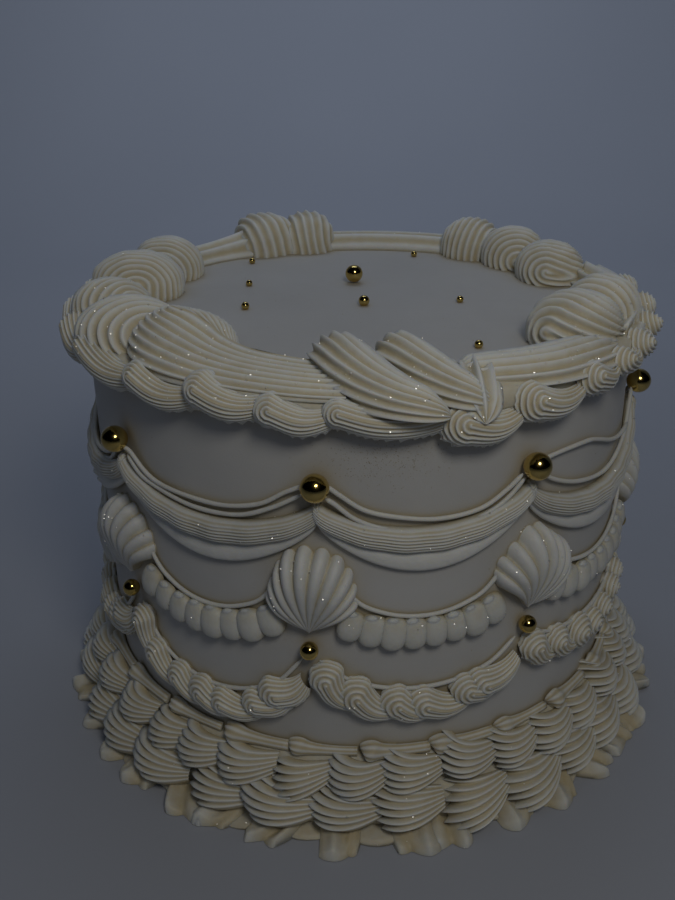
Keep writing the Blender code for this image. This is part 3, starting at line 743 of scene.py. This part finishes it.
def piping_material(name, crest, middle, valley):
    """Piped buttercream, coloured by how deep a place lies between the ridges: painted light on the ridges,
    and painted shade and warm bounce light in the valleys.
    """
    paint = Paint(name)
    groove = paint.node("Attribute", attribute_name="groove").outputs["Fac"]
    uneven = paint.node("Math", {0: paint.noise(260.0, 3.0), 1: 0.5, 2: groove}, operation="MULTIPLY_ADD")
    shift = paint.node("Math", {0: uneven.outputs[0], 1: 0.25}, operation="SUBTRACT")
    # Painted light and shade: the crest colour on the ridges, and the darker, yellower valley colour in the
    # grooves.
    colour = paint.ramp(shift.outputs[0], (0.05, crest), (0.45, middle), (0.95, valley))
    patches = paint.ramp(paint.noise(60.0, 2.0), (0.35, (0.93, 0.93, 0.93)), (0.65, (1.0, 0.995, 0.98)))
    paint.gloss(700.0, 2.0, 0.42, 0.62)
    paint.bumps((1800.0, 3.0, 0.25, 0.00025), (420.0, 2.0, 0.30, 0.0005))
    return paint.soft(paint.times(colour, patches), 0.35, 0.35, (1.0, 0.75, 0.40), 0.0016)


def icing_material():
    """Smooth icing, darker and yellower in the corners beside the piping, as painted shade and warm bounce
    light.
    """
    paint = Paint("smooth_icing")
    broad = paint.ramp(paint.noise(22.0, 3.0), (0.30, (0.470, 0.458, 0.430)), (0.70, (0.520, 0.508, 0.480)))
    # Painted shade and warm bounce light: ambient occlusion near the piping darkens and yellows the colour.
    near = paint.node("AmbientOcclusion", {"Distance": 0.007}, samples=4).outputs["AO"]
    warm = paint.ramp(near, (0.35, (0.86, 0.74, 0.50)), (0.85, (1.0, 1.0, 1.0)))
    paint.gloss(300.0, 3.0, 0.50, 0.68)
    paint.bumps((2600.0, 4.0, 0.22, 0.0002), (90.0, 2.0, 0.25, 0.0006))
    return paint.soft(paint.times(broad, warm), 0.30, 0.15, (1.0, 0.8, 0.5), 0.0015)


def gold_material():
    paint = Paint("gold_pearl")
    paint.gloss(900.0, 3.0, 0.10, 0.20)
    paint.bumps((1200.0, 2.0, 0.08, 0.0002))
    colour = paint.ramp(paint.noise(500.0, 3.0), (0.3, (0.56, 0.40, 0.12)), (0.7, (0.66, 0.50, 0.18)))
    return paint.plain(colour, 1.0)


def flake_material(name, low, high, metallic, rough):
    paint = Paint(name)
    colour = paint.ramp(paint.noise(900.0, 1.0), (0.35, low), (0.65, high))
    return paint.plain(colour, metallic, Roughness=rough)


def floor_material():
    paint = Paint("floor")
    colour = paint.ramp(paint.noise(3.0, 2.0), (0.3, (0.33, 0.34, 0.37)), (0.7, (0.35, 0.36, 0.39)))
    return paint.plain(colour, 0.0, Roughness=0.8)


# ---------------------------------------------------------------- pieces

def make_icing(skin):
    """The smooth body: flat above, round at the upper edge, a little uneven on its side."""
    inner = RADIUS - EDGE_ROUND
    corner = HEIGHT - EDGE_ROUND
    axis = 0.0005
    turns = [radians(90.0 - 90.0 * step / 7) for step in range(1, 8)]
    profile = [(axis, HEIGHT)] + [(reach, HEIGHT) for reach in np.linspace(0.006, inner, 14)]
    profile += [(inner + EDGE_ROUND * cos(turn), corner + EDGE_ROUND * sin(turn)) for turn in turns]
    profile += [(RADIUS, z) for z in np.linspace(corner - 0.004, 0.0, 28)] + [(axis, 0.0)]
    profile = np.array(profile)
    angle = degrees(circle(180))[None, :]
    points = around(angle, profile[:, :1], profile[:, 1:])
    inset = 0.00018 * (wobble(points, 55.0, 3) - 1.0)
    side = (profile[:, 0] > 0.5 * RADIUS) & (profile[:, 1] < HEIGHT - 0.0001)
    skin.grid(points + unit(points * FLAT) * (inset * side[:, None])[..., None])


def make_small_pearls(skin):
    for angle, reach, radius in SMALL_PEARLS:
        ball(skin, around(angle, reach, HEIGHT + 0.85 * radius), radius, 18, 24)


def make_pearls(skin):
    """The pearls between the swags and above the lower garlands, and the large one on the top."""
    for peak, shift in zip(PEAKS, FAN_SHIFTS):
        upper = around(peak, WALL + UPPER_PEARL_RADIUS, UPPER_PEARL_Z)
        ball(skin, upper, UPPER_PEARL_RADIUS, 24, 36)
        lower = around(peak + shift, WALL + LOWER_PEARL_RADIUS, LOWER_PEARL_Z)
        ball(skin, lower, LOWER_PEARL_RADIUS, 18, 28)
    angle, reach = TOP_PEARL_PLACE
    ball(skin, around(angle, reach, TOP + TOP_PEARL_RADIUS), TOP_PEARL_RADIUS, 24, 36)


def make_front_curls(skin):
    """The shells along the front of the top edge, from left to right."""
    # A round curl, then a folded shell that runs out into the long ribbed rope.
    rosette(skin, -58.0, 0.895, (15.5, 13.8), 13.4, (34.0, 20.0), 14, spin=-20.0, depth=0.46, seed=1)
    fold(skin, (
        (-2.0, 0.84, -2.0, 1.045, 5.0, 0.0), (-8.0, 0.84, -8.0, 1.045, 5.4, 0.0),
        (-16.0, 0.83, -15.0, 1.04, 5.8, 0.0), (-24.0, 0.82, -22.0, 1.04, 6.4, 0.0),
        (-31.0, 0.80, -29.0, 1.05, 7.6, 0.0), (-36.5, 0.785, -36.0, 1.05, 9.6, 0.0),
        (-41.0, 0.795, -43.0, 1.03, 11.8, 0.0), (-44.5, 0.82, -49.5, 0.97, 13.0, 0.0),
        (-45.8, 0.83, -53.5, 0.88, 13.3, 0.0), (-45.8, 0.83, -53.0, 0.79, 13.3, 0.0),
        (-44.5, 0.82, -48.5, 0.71, 13.0, 0.4), (-41.0, 0.795, -43.0, 0.655, 11.8, 1.4),
        (-36.5, 0.785, -37.0, 0.66, 9.6, 2.6), (-32.8, 0.78, -33.0, 0.70, 6.4, 3.8),
        (-30.0, 0.795, -30.0, 0.755, 5.4, 4.6), (-24.0, 0.82, -24.0, 0.80, 6.4, 5.0),
        (-16.0, 0.83, -16.0, 0.81, 5.8, 5.0), (-8.0, 0.84, -8.0, 0.82, 5.4, 5.0),
        (-2.0, 0.84, -2.0, 0.82, 5.0, 5.0),
    ), 9, stations=190, per=7)
    # Two long slanting shells.
    slanting = dict(tail=7.0, teeth=0.5, ragged=0.10, low=20.0, lift=0.22)
    top_rope(skin, (
        (-8.0, 0.72, 0.0, 7.2, 9.4), (-6.0, 0.78, -0.2, 8.0, 12.0), (-3.4, 0.84, -0.4, 8.6, 12.6),
        (-0.4, 0.91, -0.8, 8.8, 11.8), (3.2, 0.98, -1.2, 8.4, 10.0), (7.0, 1.035, -1.6, 7.4, 8.2),
        (11.0, 1.07, -2.0, 5.8, 6.4), (14.0, 1.08, -2.4, 4.2, 4.6),
    ), 11, stations=100, head=7.5, seed=3, **slanting)
    top_rope(skin, (
        (5.4, 0.72, 0.0, 6.6, 9.2), (7.6, 0.78, -0.2, 7.4, 11.8), (10.0, 0.84, -0.4, 7.8, 12.0),
        (12.6, 0.905, -0.8, 7.6, 10.8), (15.4, 0.97, -1.2, 6.8, 9.0), (18.4, 1.02, -1.8, 5.8, 7.2),
        (22.0, 1.055, -2.4, 4.4, 5.0),
    ), 10, stations=90, head=7.0, seed=4, **slanting)
    # A ribbed rope that ends under the largest curl, and a short one that lies across it, with a knob.
    top_rope(skin, (
        (19.5, 0.885, -0.4, 7.0, 6.2), (25.0, 0.905, -0.4, 8.8, 6.8), (31.0, 0.925, -0.6, 9.6, 7.0),
        (37.0, 0.945, -0.8, 9.8, 7.2), (43.0, 0.955, -1.0, 9.4, 7.4), (49.0, 0.96, -1.6, 8.4, 7.4),
        (55.0, 0.96, -2.6, 6.4, 6.4), (60.0, 0.955, -3.6, 4.0, 4.4),
    ), 9, stations=80, head=3.6, tail=5.0, teeth=0.4, ragged=0.08, seed=5, low=15.0, lift=0.15)
    top_rope(skin, (
        (19.2, 1.10, -4.6, 3.8, 4.4), (19.8, 1.045, -2.4, 5.2, 6.0), (20.7, 0.985, -0.8, 5.8, 6.8),
        (21.8, 0.93, -0.4, 5.8, 7.0), (22.9, 0.88, -0.4, 5.0, 6.6), (23.8, 0.845, -0.4, 3.6, 5.0),
    ), 5, stations=56, head=3.0, tail=4.0, teeth=0.3, ragged=0.10, seed=21)
    rosette(skin, 18.0, 0.865, (3.2, 2.6), 5.8, (0.0, 60.0), 4, seed=6, rings=30, sides=36)
    # The largest curl and the one beside it.
    rosette(skin, 58.0, 0.85, (13.8, 12.4), 13.8, (-46.0, 10.0), 12, spin=35.0, depth=0.50, seed=7,
            slot=-76.0, narrow=0.16, rings=90, sides=110)
    rosette(skin, 73.0, 0.885, (13.5, 11.0), 13.8, (-34.0, -4.0), 12, spin=60.0, seed=8, rings=80, sides=64)


def make_back_curls(skin):
    """The shells along the sides and the back of the top edge."""
    flat = dict(low=12.0, lift=0.0)
    small = dict(rings=76, sides=60)
    # Right: three curls.
    rosette(skin, 113.5, 0.84, (12.3, 11.0), 12.2, (-18.0, 12.0), 15, spin=110.0, seed=9, slot=-82.0,
            narrow=0.20, spiral=1.0, rings=84, sides=84)
    rosette(skin, 131.0, 0.87, (12.0, 10.5), 12.8, (-4.0, 2.0), 14, spin=125.0, seed=10, slot=-60.0,
            narrow=0.20, rings=80, sides=84)
    rosette(skin, 146.0, 0.885, (11.0, 10.0), 13.4, (58.0, -6.0), 13, spin=150.0, seed=11, **small)
    # Back: a long rope, then two humps on a rope.
    back = [(142.0 + 7.3 * i, 0.915, -0.2, 7.2, 5.6) for i in range(9)]
    top_rope(skin, back, 4, stations=50, depth=0.16, per=7, **flat)
    hump = dict(square=2.6, depth=0.30, **small)
    rosette(skin, -165.4, 0.92, (11.2, 9.6), 13.2, (-76.0, -6.0), 10, spin=-76.0, seed=13, **hump)
    rosette(skin, -153.4, 0.94, (11.6, 10.6), 13.6, (-60.0, -6.0), 10, spin=-60.0, seed=19, **hump)
    top_rope(skin, (
        (-160.0, 0.93, -0.2, 7.2, 9.0), (-151.0, 0.935, -0.2, 7.4, 9.6), (-143.5, 0.94, -0.2, 7.0, 7.4),
        (-136.0, 0.945, -0.2, 6.8, 6.0), (-127.0, 0.94, -0.2, 6.8, 6.0), (-114.0, 0.92, -0.2, 6.8, 8.0),
    ), 5, stations=50, depth=0.22, **flat)
    # Left: a hump, the large curl and a smaller one in front of it.
    rosette(skin, -118.5, 0.895, (12.5, 10.8), 13.0, (-8.0, -2.0), 15, spin=-28.0, seed=15,
            rings=80, sides=60)
    rosette(skin, -100.0, 0.87, (15.0, 13.0), 13.6, (6.0, 14.0), 17, spin=-10.0, seed=16, slot=0.0,
            narrow=0.32, rings=90, sides=90)
    rosette(skin, -78.5, 0.905, (12.0, 10.5), 12.2, (50.0, 14.0), 14, spin=-12.0, seed=17, **small)
    # Ropes that fill the edge between the groups.
    for start, end in ((62.0, 108.0), (-106.0, -62.0)):
        rows = [(start + (end - start) * i / 5.0, 0.95, -0.2, 7.6, 6.6) for i in range(6)]
        top_rope(skin, rows, 5, stations=50, **flat)


def make_rim_shells(skin):
    """The row of shells under the top edge."""
    draw = np.random.default_rng(5)
    ring_core(skin, RIM_CORE)
    ends = [row[0] for row in RIM_SHELLS[1:]] + [RIM_SHELLS[0][0] + 360.0]
    for i, ((start, rise, tall, lean, thin), end) in enumerate(zip(RIM_SHELLS, ends)):
        last = end + RIM_OVERLAP
        size = (radians(last - start) * WALL / MM, tall * (1.0 + draw.uniform(-0.05, 0.05)))
        lean = lean + draw.uniform(-2.0, 2.0)
        z = RIM_Z + rise * MM
        if RIM_BEHIND[0] < start < RIM_BEHIND[1]:
            curl(skin, last, z, (*size, 7.6), 6, lean, 140 + i, per=5, stations=48, torn=0.8, thin=thin,
                 tilt=12.0)
        else:
            stations = 110 if i == RIM_BAND else 68
            curl(skin, last, z, (*size, 8.4), 7, lean, 140 + i, per=7, stations=stations, torn=0.9,
                 thin=thin, tilt=18.0)


def swag_points(index, margin, steps):
    """Shares of the way along a swag, and their angles."""
    start, end = bay(index)
    t = evenly(steps)
    return t, start + margin + (end - start - 2.0 * margin) * t


def make_ribbons(skin):
    """The ribbed ribbons of the upper swags."""
    u = evenly(RIBBON_RIDGES * 5 + 1)[None, :]
    across = 2.0 * u - 1.0
    valley = ribs(RIBBON_RIDGES * u, 1.4)
    fade = clip(1.3 - np.abs(across), 0.0, 1.0) * clip(0.9 - 0.6 * across, 0.35, 1.0)
    for index in range(BAYS):
        t, angle = swag_points(index, -0.4, 64)
        rise = hang(t)[:, None]
        centre = RIBBON_PEAK_Z + 0.0006 - RIBBON_SAGS[index] * RADIUS * rise
        half = RIBBON_HALF * (0.78 + 0.22 * rise)
        uneven = 1.0 + 0.05 * sin(angle * 0.9 + index)[:, None]
        depth = RIBBON_DEPTH * dome(across, 2.6) * uneven - RIBBON_VALLEY * valley * fade
        points = around(angle[:, None], WALL + maximum(depth, -0.0001), centre + across * half)
        under = around(angle[:, None], WALL - 0.0004, centre + np.array([[0.6, -0.6]]) * half)
        # The edge tucked under the ribbon takes the full valley colour, as painted shade.
        groove = beside(np.broadcast_to(valley * 0.9, depth.shape), np.ones((len(t), 2)))
        skin.grid(beside(points, under), groove)


def make_bands(skin):
    """The smooth bands that hang below the ribbons."""
    turn = radians(np.linspace(-90.0, 90.0, 9))[None, :]
    for index in range(BAYS):
        t, angle = swag_points(index, 0.2, 70)
        rise = hang(t)[:, None]
        low = RIBBON_PEAK_Z - RIBBON_SAGS[index] * RADIUS * rise - RIBBON_HALF
        edge = low - (0.0006 + BAND_DROP * rise**2) + BAND_EDGE - BAND_EDGE * cos(turn)
        z = beside(edge, low + 0.0012, low + 0.0012)
        out = np.append(0.5 * BAND_DEPTH * (1.0 + sin(turn)), (BAND_DEPTH * 0.9, -0.0002))
        skin.grid(around(angle[:, None], WALL + out[None, :], z), 0.15)


def make_strings(skin):
    """The thin strings over the swags and both rows of garlands."""
    for points in STRINGS:
        string(skin, points)
    t = evenly(9)
    for index in range(3, BAYS):
        start, end = bay(index)
        for rise, high in ((0.060, 1.266), (0.034, 1.240)):
            angle = start + 1.6 + (end - start - 3.2) * t
            z = high - (high - RIBBON_PEAK_Z / RADIUS + RIBBON_SAGS[index] - rise) * hang(t)
            string(skin, np.stack([angle, z, 0.8 + 1.2 * np.abs(2.0 * t - 1.0) ** 6], axis=-1))
    for index in range(BAYS):
        for clear, high, sag in (
            (5.2, BEAD_END_Z / RADIUS + 0.125, BEAD_SAGS[index] + 0.070),
            (1.6, ROPE_END_Z / RADIUS + 0.070, ROPE_SAGS[index] - 0.010),
        ):
            start, end = garland_ends(index, clear)
            angle = start + (end - start) * t
            string(skin, np.stack([angle, high - sag * hang(t), np.full(9, 0.5)], axis=-1))


def make_beads(skin):
    """The garlands of rounded tabs, each with a small lip over its top."""
    draw = np.random.default_rng(21)
    for index in range(BAYS):
        start, end = garland_ends(index, BEAD_CLEARANCE)
        tabs = max(4, round((end - start) / BEAD_PITCH))
        for t in (np.arange(tabs) + 0.5) / tabs:
            grow = 1.0 + draw.uniform(-0.07, 0.07)
            right, up, out = wall_frame(start + (end - start) * t)
            lean = radians((t - 0.5) * 34.0 + draw.uniform(-5.0, 5.0))
            across = right * cos(lean) + up * sin(lean)
            along = up * cos(lean) - right * sin(lean)
            z = BEAD_END_Z - BEAD_SAGS[index] * RADIUS * hang(t) - 0.0004
            place = out * (WALL + 0.0002 + 0.0003 * draw.uniform(-1.0, 1.0)) + UP * z
            tab(skin, place, across, along, out, np.array([3.7, 4.4, 3.4]) * MM * grow)
            lip = place + along * 0.0034 - across * 0.0006 + out * 0.0011
            ball(skin, lip, 0.0013 * grow, 7, 10, (1.6, 1.1, 0.9), (across, along, out), 0.35)


def make_garlands(skin):
    """The lower garlands of small shells, evenly spaced along each."""
    draw = np.random.default_rng(31)
    fine = evenly(200)
    for index in range(BAYS):
        start, end = garland_ends(index, 1.0)
        turn = radians(end - start)
        z = ROPE_END_Z - ROPE_SAGS[index] * RADIUS * hang(fine)
        run = np.concatenate([[0.0], np.cumsum(np.hypot(np.diff(turn * fine) * WALL, np.diff(z)))])
        shells = round(run[-1] / ROPE_PITCH)
        for shell in range(shells):
            t = np.interp(np.array([shell + 0.1, shell + 1.25]) / shells * run[-1], run, fine)
            rise = ROPE_END_Z - ROPE_SAGS[index] * RADIUS * hang(t)
            slope = degrees(np.arctan2(rise[1] - rise[0], turn * (t[1] - t[0]) * WALL))
            long = run[-1] / shells / MM * draw.uniform(1.45, 1.75)
            size = (long, 10.4 * draw.uniform(0.90, 1.10), 5.2)
            angle = start + (end - start) * t[1]
            lean = draw.uniform(8.0, 20.0) - slope
            seed = 300 + 10 * index + shell
            curl(skin, angle, rise[1] - 0.0010, size, 5, lean, seed, per=5, stations=44, torn=0.7, thin=0.50)


def make_fans(skin):
    """The scallop fans over the ends of the tab garlands."""
    for index, (peak, shift, twist, tilt) in enumerate(zip(PEAKS, FAN_SHIFTS, FAN_TWISTS, FAN_TILTS)):
        turns = (90.0 + tilt - FAN_SPREAD, 90.0 + tilt + FAN_SPREAD)
        scallop(skin, peak + shift, FAN_LOW_Z, (0.0, 0.0), turns, FAN_LENGTHS, FAN_DEPTH, 9 + index % 2,
                twist, seed=400 + index)


def row_starts(count, shift, seed, jitter):
    """Uneven angles all round the cake."""
    draw = np.random.default_rng(seed)
    return [shift + 360.0 / count * (i + draw.uniform(-jitter, jitter)) for i in range(count)]


def make_base_row(skin, count, shift, seed, z, base, tilt, turns, lengths, deep, ridges, start, broad, core):
    """A row of large shells that leans against the foot of the cake."""
    draw = np.random.default_rng(seed)
    ring_core(skin, core)
    for i, angle in enumerate(row_starts(count, shift, seed, 0.12)):
        grow = 1.0 + draw.uniform(-0.08, 0.08)
        lean = draw.uniform(-9.0, 9.0)
        place = (start[0], start[1] + draw.uniform(-0.5, 0.5))
        scallop(skin, angle, z, place, (turns[0] + lean, turns[1] + lean), np.array(lengths) * grow,
                deep * grow, ridges, draw.uniform(6.0, 20.0), hook=3.0, tooth=0.14, groove=0.62, tilt=tilt,
                base=base, rounded=False, seed=seed + i, per=6, stations=22, nose=3.0, tail=0.45,
                broad=-broad, pointed=1.8)


def make_upper_row(skin):
    make_base_row(
        skin, count=36, shift=9.0, seed=61, z=0.0172, base=WALL + 0.0030, tilt=32.0, turns=(-1.0, -31.0),
        lengths=(18.0, 16.0, 15.0), deep=7.0, ridges=6, start=(9.5, 0.8), broad=6.0,
        core=((WALL - 0.0005, 0.0228), (WALL + 0.0022, 0.0210), (WALL + 0.0040, 0.0150), (WALL, 0.0120)),
    )


def make_lower_row(skin):
    make_base_row(
        skin, count=30, shift=8.0, seed=71, z=0.0074, base=WALL + 0.0066, tilt=42.0, turns=(8.0, -30.0),
        lengths=(23.0, 20.0, 18.0), deep=7.6, ridges=7, start=(12.0, 1.4), broad=6.5,
        core=((WALL, 0.0145), (WALL + 0.0056, 0.0115), (WALL + 0.0080, 0.0036), (WALL, 0.0030)),
    )


def make_base_beads(skin):
    """The thin piped line above the base shells: beads with long tails."""
    draw = np.random.default_rng(41)
    depth = np.interp(evenly(28), (0.0, 0.25, 0.5, 1.0), (0.35, 0.30, 0.05, 0.0))
    for start in row_starts(26, 0.7, 6, 0.10):
        grow = 1.0 + draw.uniform(-0.15, 0.10)
        rows = np.array([
            (-1.0, 0.2, 0.0, 0.6, 0.8), (0.0, 0.6, 0.0, 2.4, 4.2), (2.0, 0.5, 0.0, 2.9, 4.6),
            (5.0, 0.0, 0.0, 2.0, 3.2), (10.0, -0.2, 0.0, 1.5, 2.4), (18.0, -0.2, 0.0, 1.4, 2.2),
        ]) * np.array([1.0, 1.0, 1.0, grow, grow])
        wall_rope(skin, start, BASE_BEADS_Z, rows, 5, stations=28, tilt=10.0, depth=depth, per=5)


def make_ruffle(skin):
    """Soft flaps all round on the floor, on a wavy sheet of icing."""
    angle = degrees(circle(240))[:, None]
    wave = 0.5 + 0.5 * sin(radians(angle * 29.0 + 20.0)) + 0.35 * sin(radians(angle * 13.0))
    inner = 1.03 * RADIUS
    v = evenly(8)[None, :]
    reach = inner + (RADIUS * (1.135 + 0.024 * wave) - inner) * v
    z = 0.0030 - 0.0020 * v**2 + 0.0005 * sin(radians(angle * 17.0)) * v
    ring = beside(around(angle, reach, z), around(angle, reach, 0.0002)[:, ::-1])
    # The sheet under the leaves is coloured near the valleys', as painted shade.
    skin.grid(np.concatenate([ring, ring[:1]]), 0.75, caps=False)
    draw = np.random.default_rng(51)
    for start in row_starts(36, -3.0, 8, 0.22):
        leaf(skin, start, draw)


def surface_points(item, count, draw, keep=None):
    """Random places on a piece that face outwards or upwards, with the surface's direction there."""
    mesh = item.data
    mesh.calc_loop_triangles()
    points = np.zeros(len(mesh.vertices) * 3, np.float32)
    mesh.vertices.foreach_get("co", points)
    corners = np.zeros(len(mesh.loop_triangles) * 3, np.int32)
    mesh.loop_triangles.foreach_get("vertices", corners)
    corners = points.reshape(-1, 3).astype(float)[corners.reshape(-1, 3)]
    cross = np.cross(corners[:, 1] - corners[:, 0], corners[:, 2] - corners[:, 0])
    area = np.linalg.norm(cross, axis=1)
    normals = cross / maximum(area, 1e-12)[:, None]
    middle = corners.mean(axis=1)
    out = unit(middle * FLAT)
    facing = (normals * (out * 0.6 + UP * 0.8)).sum(axis=1)
    normals = normals * np.where(facing < 0.0, -1.0, 1.0)[:, None]
    shown = (normals * out).sum(axis=1) + normals[:, 2]
    weight = area * clip(shown - 0.2, 0.0, 1.0)
    if keep is not None:
        weight = weight * keep(middle)
    picks = draw.choice(len(area), size=count, p=weight / weight.sum())
    a, b = draw.uniform(size=(2, count, 1))
    over = a + b > 1.0
    a, b = np.where(over, 1.0 - a, a), np.where(over, 1.0 - b, b)
    spots = corners[picks, 0] * (1.0 - a - b) + corners[picks, 1] * a + corners[picks, 2] * b
    return spots, normals[picks]


def scatter(name, surfaces, count, size, seed, material, keep=None, raised=0.0):
    """Tiny flat-sided flakes that lie on surfaces, each with its share of them.

    size: about their radius.  keep: how likely a place is.  raised: the share that faces GLINT.
    """
    draw = np.random.default_rng(seed)
    skin = Skin(name)
    turn = circle(3)[:, None]
    for surface, share in surfaces:
        spots, normals = surface_points(surface, int(count * share), draw, keep)
        for spot, normal in zip(spots, normals):
            radius = size * draw.uniform(0.5, 1.3)
            lean = unit(normal + 0.45 * draw.normal(size=3))
            if draw.uniform() < raised:
                lean = unit(GLINT + 0.12 * draw.normal(size=3))
            first = unit(np.cross(lean, draw.normal(size=3)))
            second = np.cross(lean, first)
            ring = first * cos(turn) * radius + second * sin(turn) * radius * draw.uniform(0.6, 1.0)
            thick = lean * radius * 0.30
            place = spot + normal * radius * 0.40
            skin.grid(np.stack([place + ring - thick, place + ring * 0.85 + thick]))
    skin.make(material).data.shade_flat()


def front_patch(points):
    """How much dust lies at points of the wall under the front rim."""
    angle = degrees(np.arctan2(points[:, 0], -points[:, 1]))
    away = ((angle - 5.0) / 12.0) ** 2 + ((points[:, 2] / RADIUS - 1.36) / 0.09) ** 2
    return np.exp(-2.0 * away) * (points[:, 2] < HEIGHT - 0.004)


# ---------------------------------------------------------------- the cake

def numbered(name):
    """The nodes of this name in all bays."""
    return ["%s_%d" % (name, i + 1) for i in range(BAYS)]


def make_cake():
    """All pieces of the cake: name, maker, material, slot and the nodes that it takes the place of."""
    cream = piping_material("piped_buttercream", *CREAM)
    pale = piping_material("pale_buttercream", *PALE)
    warm = piping_material("base_buttercream", *WARM_SHADED)
    gold = gold_material()
    piped = "piped_buttercream"
    pearls = numbered("upper_pearl") + numbered("lower_pearl") + ["top_pearl"]
    drapes = numbered("upper_drape")
    made = {}
    for name, maker, material, slot, nodes in (
        ("smooth_icing", make_icing, icing_material(), "smooth_icing", ["cake_body"]),
        ("small_gold_pearls", make_small_pearls, gold, "gold_pearl", ["cake_body"]),
        ("gold_pearls", make_pearls, gold, "gold_pearl", pearls),
        ("front_top_curls", make_front_curls, cream, piped, ["top_border"]),
        ("back_top_curls", make_back_curls, cream, piped, ["top_border"]),
        ("rim_curls", make_rim_shells, cream, piped, ["rim_shells"]),
        ("swag_ribbons", make_ribbons, pale, piped, drapes),
        ("swag_bands", make_bands, pale, piped, drapes),
        ("swag_strings", make_strings, pale, piped, drapes),
        ("bead_garlands", make_beads, pale, piped, numbered("bead_garland")),
        ("shell_garlands", make_garlands, cream, piped, numbered("rope_garland")),
        ("scallop_fans", make_fans, pale, piped, numbered("fan")),
        ("base_bead_line", make_base_beads, warm, piped, ["base_bead_line"]),
        ("base_upper_curls", make_upper_row, warm, piped, ["base_upper_shells"]),
        ("base_lower_curls", make_lower_row, warm, piped, ["base_lower_shells"]),
        ("floor_ruffle", make_ruffle, warm, piped, ["base_ruffle"]),
    ):
        skin = Skin(name)
        maker(skin)
        made[name] = skin.make(material, nodes)
    return made


def make_flakes(made):
    """Glitter and dust on the pieces, each with its share of the flakes."""
    flake = flake_material("glitter_flake", (0.90, 0.90, 0.88), (0.98, 0.96, 0.90), 1.0, 0.42)
    speck = flake_material("gold_speck", (0.20, 0.15, 0.07), (0.40, 0.32, 0.17), 0.1, 0.6)
    icing = made["smooth_icing"]
    shares = [(made[name], share) for name, share in GLITTER_SHARES]
    scatter("edible_glitter", shares, count=2400, size=0.00027, seed=81, material=flake, raised=0.80)
    scatter("gold_specks", shares + [(icing, 0.6)], count=700, size=0.00012, seed=82, material=speck)
    scatter("gold_dust", [(icing, 1.0)], count=500, size=0.00010, seed=83, material=speck, keep=front_patch)


# ---------------------------------------------------------------- stage

def area_light(name, place, target, size, power, colour):
    """A round light that faces its target."""
    data = bpy.data.lights.new(name, "AREA")
    data.shape = "DISK"
    data.size = size
    data.energy = power
    data.color = colour
    item = bpy.data.objects.new(name, data)
    item.location = place
    item.rotation_euler = (Vector(target) - item.location).to_track_quat("-Z", "Y").to_euler()
    bpy.context.scene.collection.objects.link(item)


def make_camera():
    pitch, yaw, roll = (radians(angle) for angle in (CAMERA_PITCH, CAMERA_YAW, CAMERA_ROLL))
    ahead = Vector((sin(yaw) * cos(pitch), cos(yaw) * cos(pitch), -sin(pitch)))
    right = Vector((cos(yaw), -sin(yaw), 0.0))
    up = right.cross(ahead)
    right, up = right * cos(roll) + up * sin(roll), up * cos(roll) - right * sin(roll)
    data = bpy.data.cameras.new("camera")
    data.sensor_fit = "VERTICAL"
    data.sensor_height = SENSOR
    data.lens = CAMERA_FOCAL * SENSOR
    data.clip_start = 0.01
    item = bpy.data.objects.new("camera", data)
    turn = Matrix((right, up, -ahead)).transposed()
    item.matrix_world = Matrix.Translation(Vector((0.0, -CAMERA_BACK, CAMERA_HEIGHT))) @ turn.to_4x4()
    bpy.context.scene.collection.objects.link(item)
    bpy.context.scene.camera = item


def make_floor():
    """A floor that curves up into a plain wall far behind the cake."""
    turns = [radians(90.0 * step / 12) for step in range(1, 13)]
    profile = [(-3.0, 0.0), (-1.0, 0.0), (0.0, 0.0), (FLOOR_FLAT, 0.0)]
    profile += [(FLOOR_FLAT + FLOOR_BEND * sin(a), FLOOR_BEND - FLOOR_BEND * cos(a)) for a in turns]
    profile.append((FLOOR_FLAT + FLOOR_BEND, 3.0))
    skin = Skin("floor")
    skin.sheet(np.array([[(x, y, z) for y, z in profile] for x in (-4.0, 0.0, 4.0)]))
    return skin.item(floor_material())


def make_stage():
    scene = bpy.context.scene
    make_floor()
    make_camera()
    area_light("key", (0.09, -0.37, 0.41), (0.0, 0.0, 0.08), size=0.12, power=0.415,
               colour=(1.0, 0.975, 0.92))
    area_light("background", (0.0, 0.40, 0.90), (0.0, 1.0, 0.40), size=0.60, power=2.9,
               colour=(0.72, 0.82, 1.0))
    world = bpy.data.worlds.new("studio")
    scene.world = world
    world.use_nodes = True
    sky = world.node_tree.nodes["Background"].inputs
    sky["Color"].default_value = (0.60, 0.70, 0.90, 1.0)
    sky["Strength"].default_value = 0.11
    world.cycles_visibility.glossy = False
    scene.view_settings.view_transform = "Standard"


make_flakes(make_cake())
make_stage()
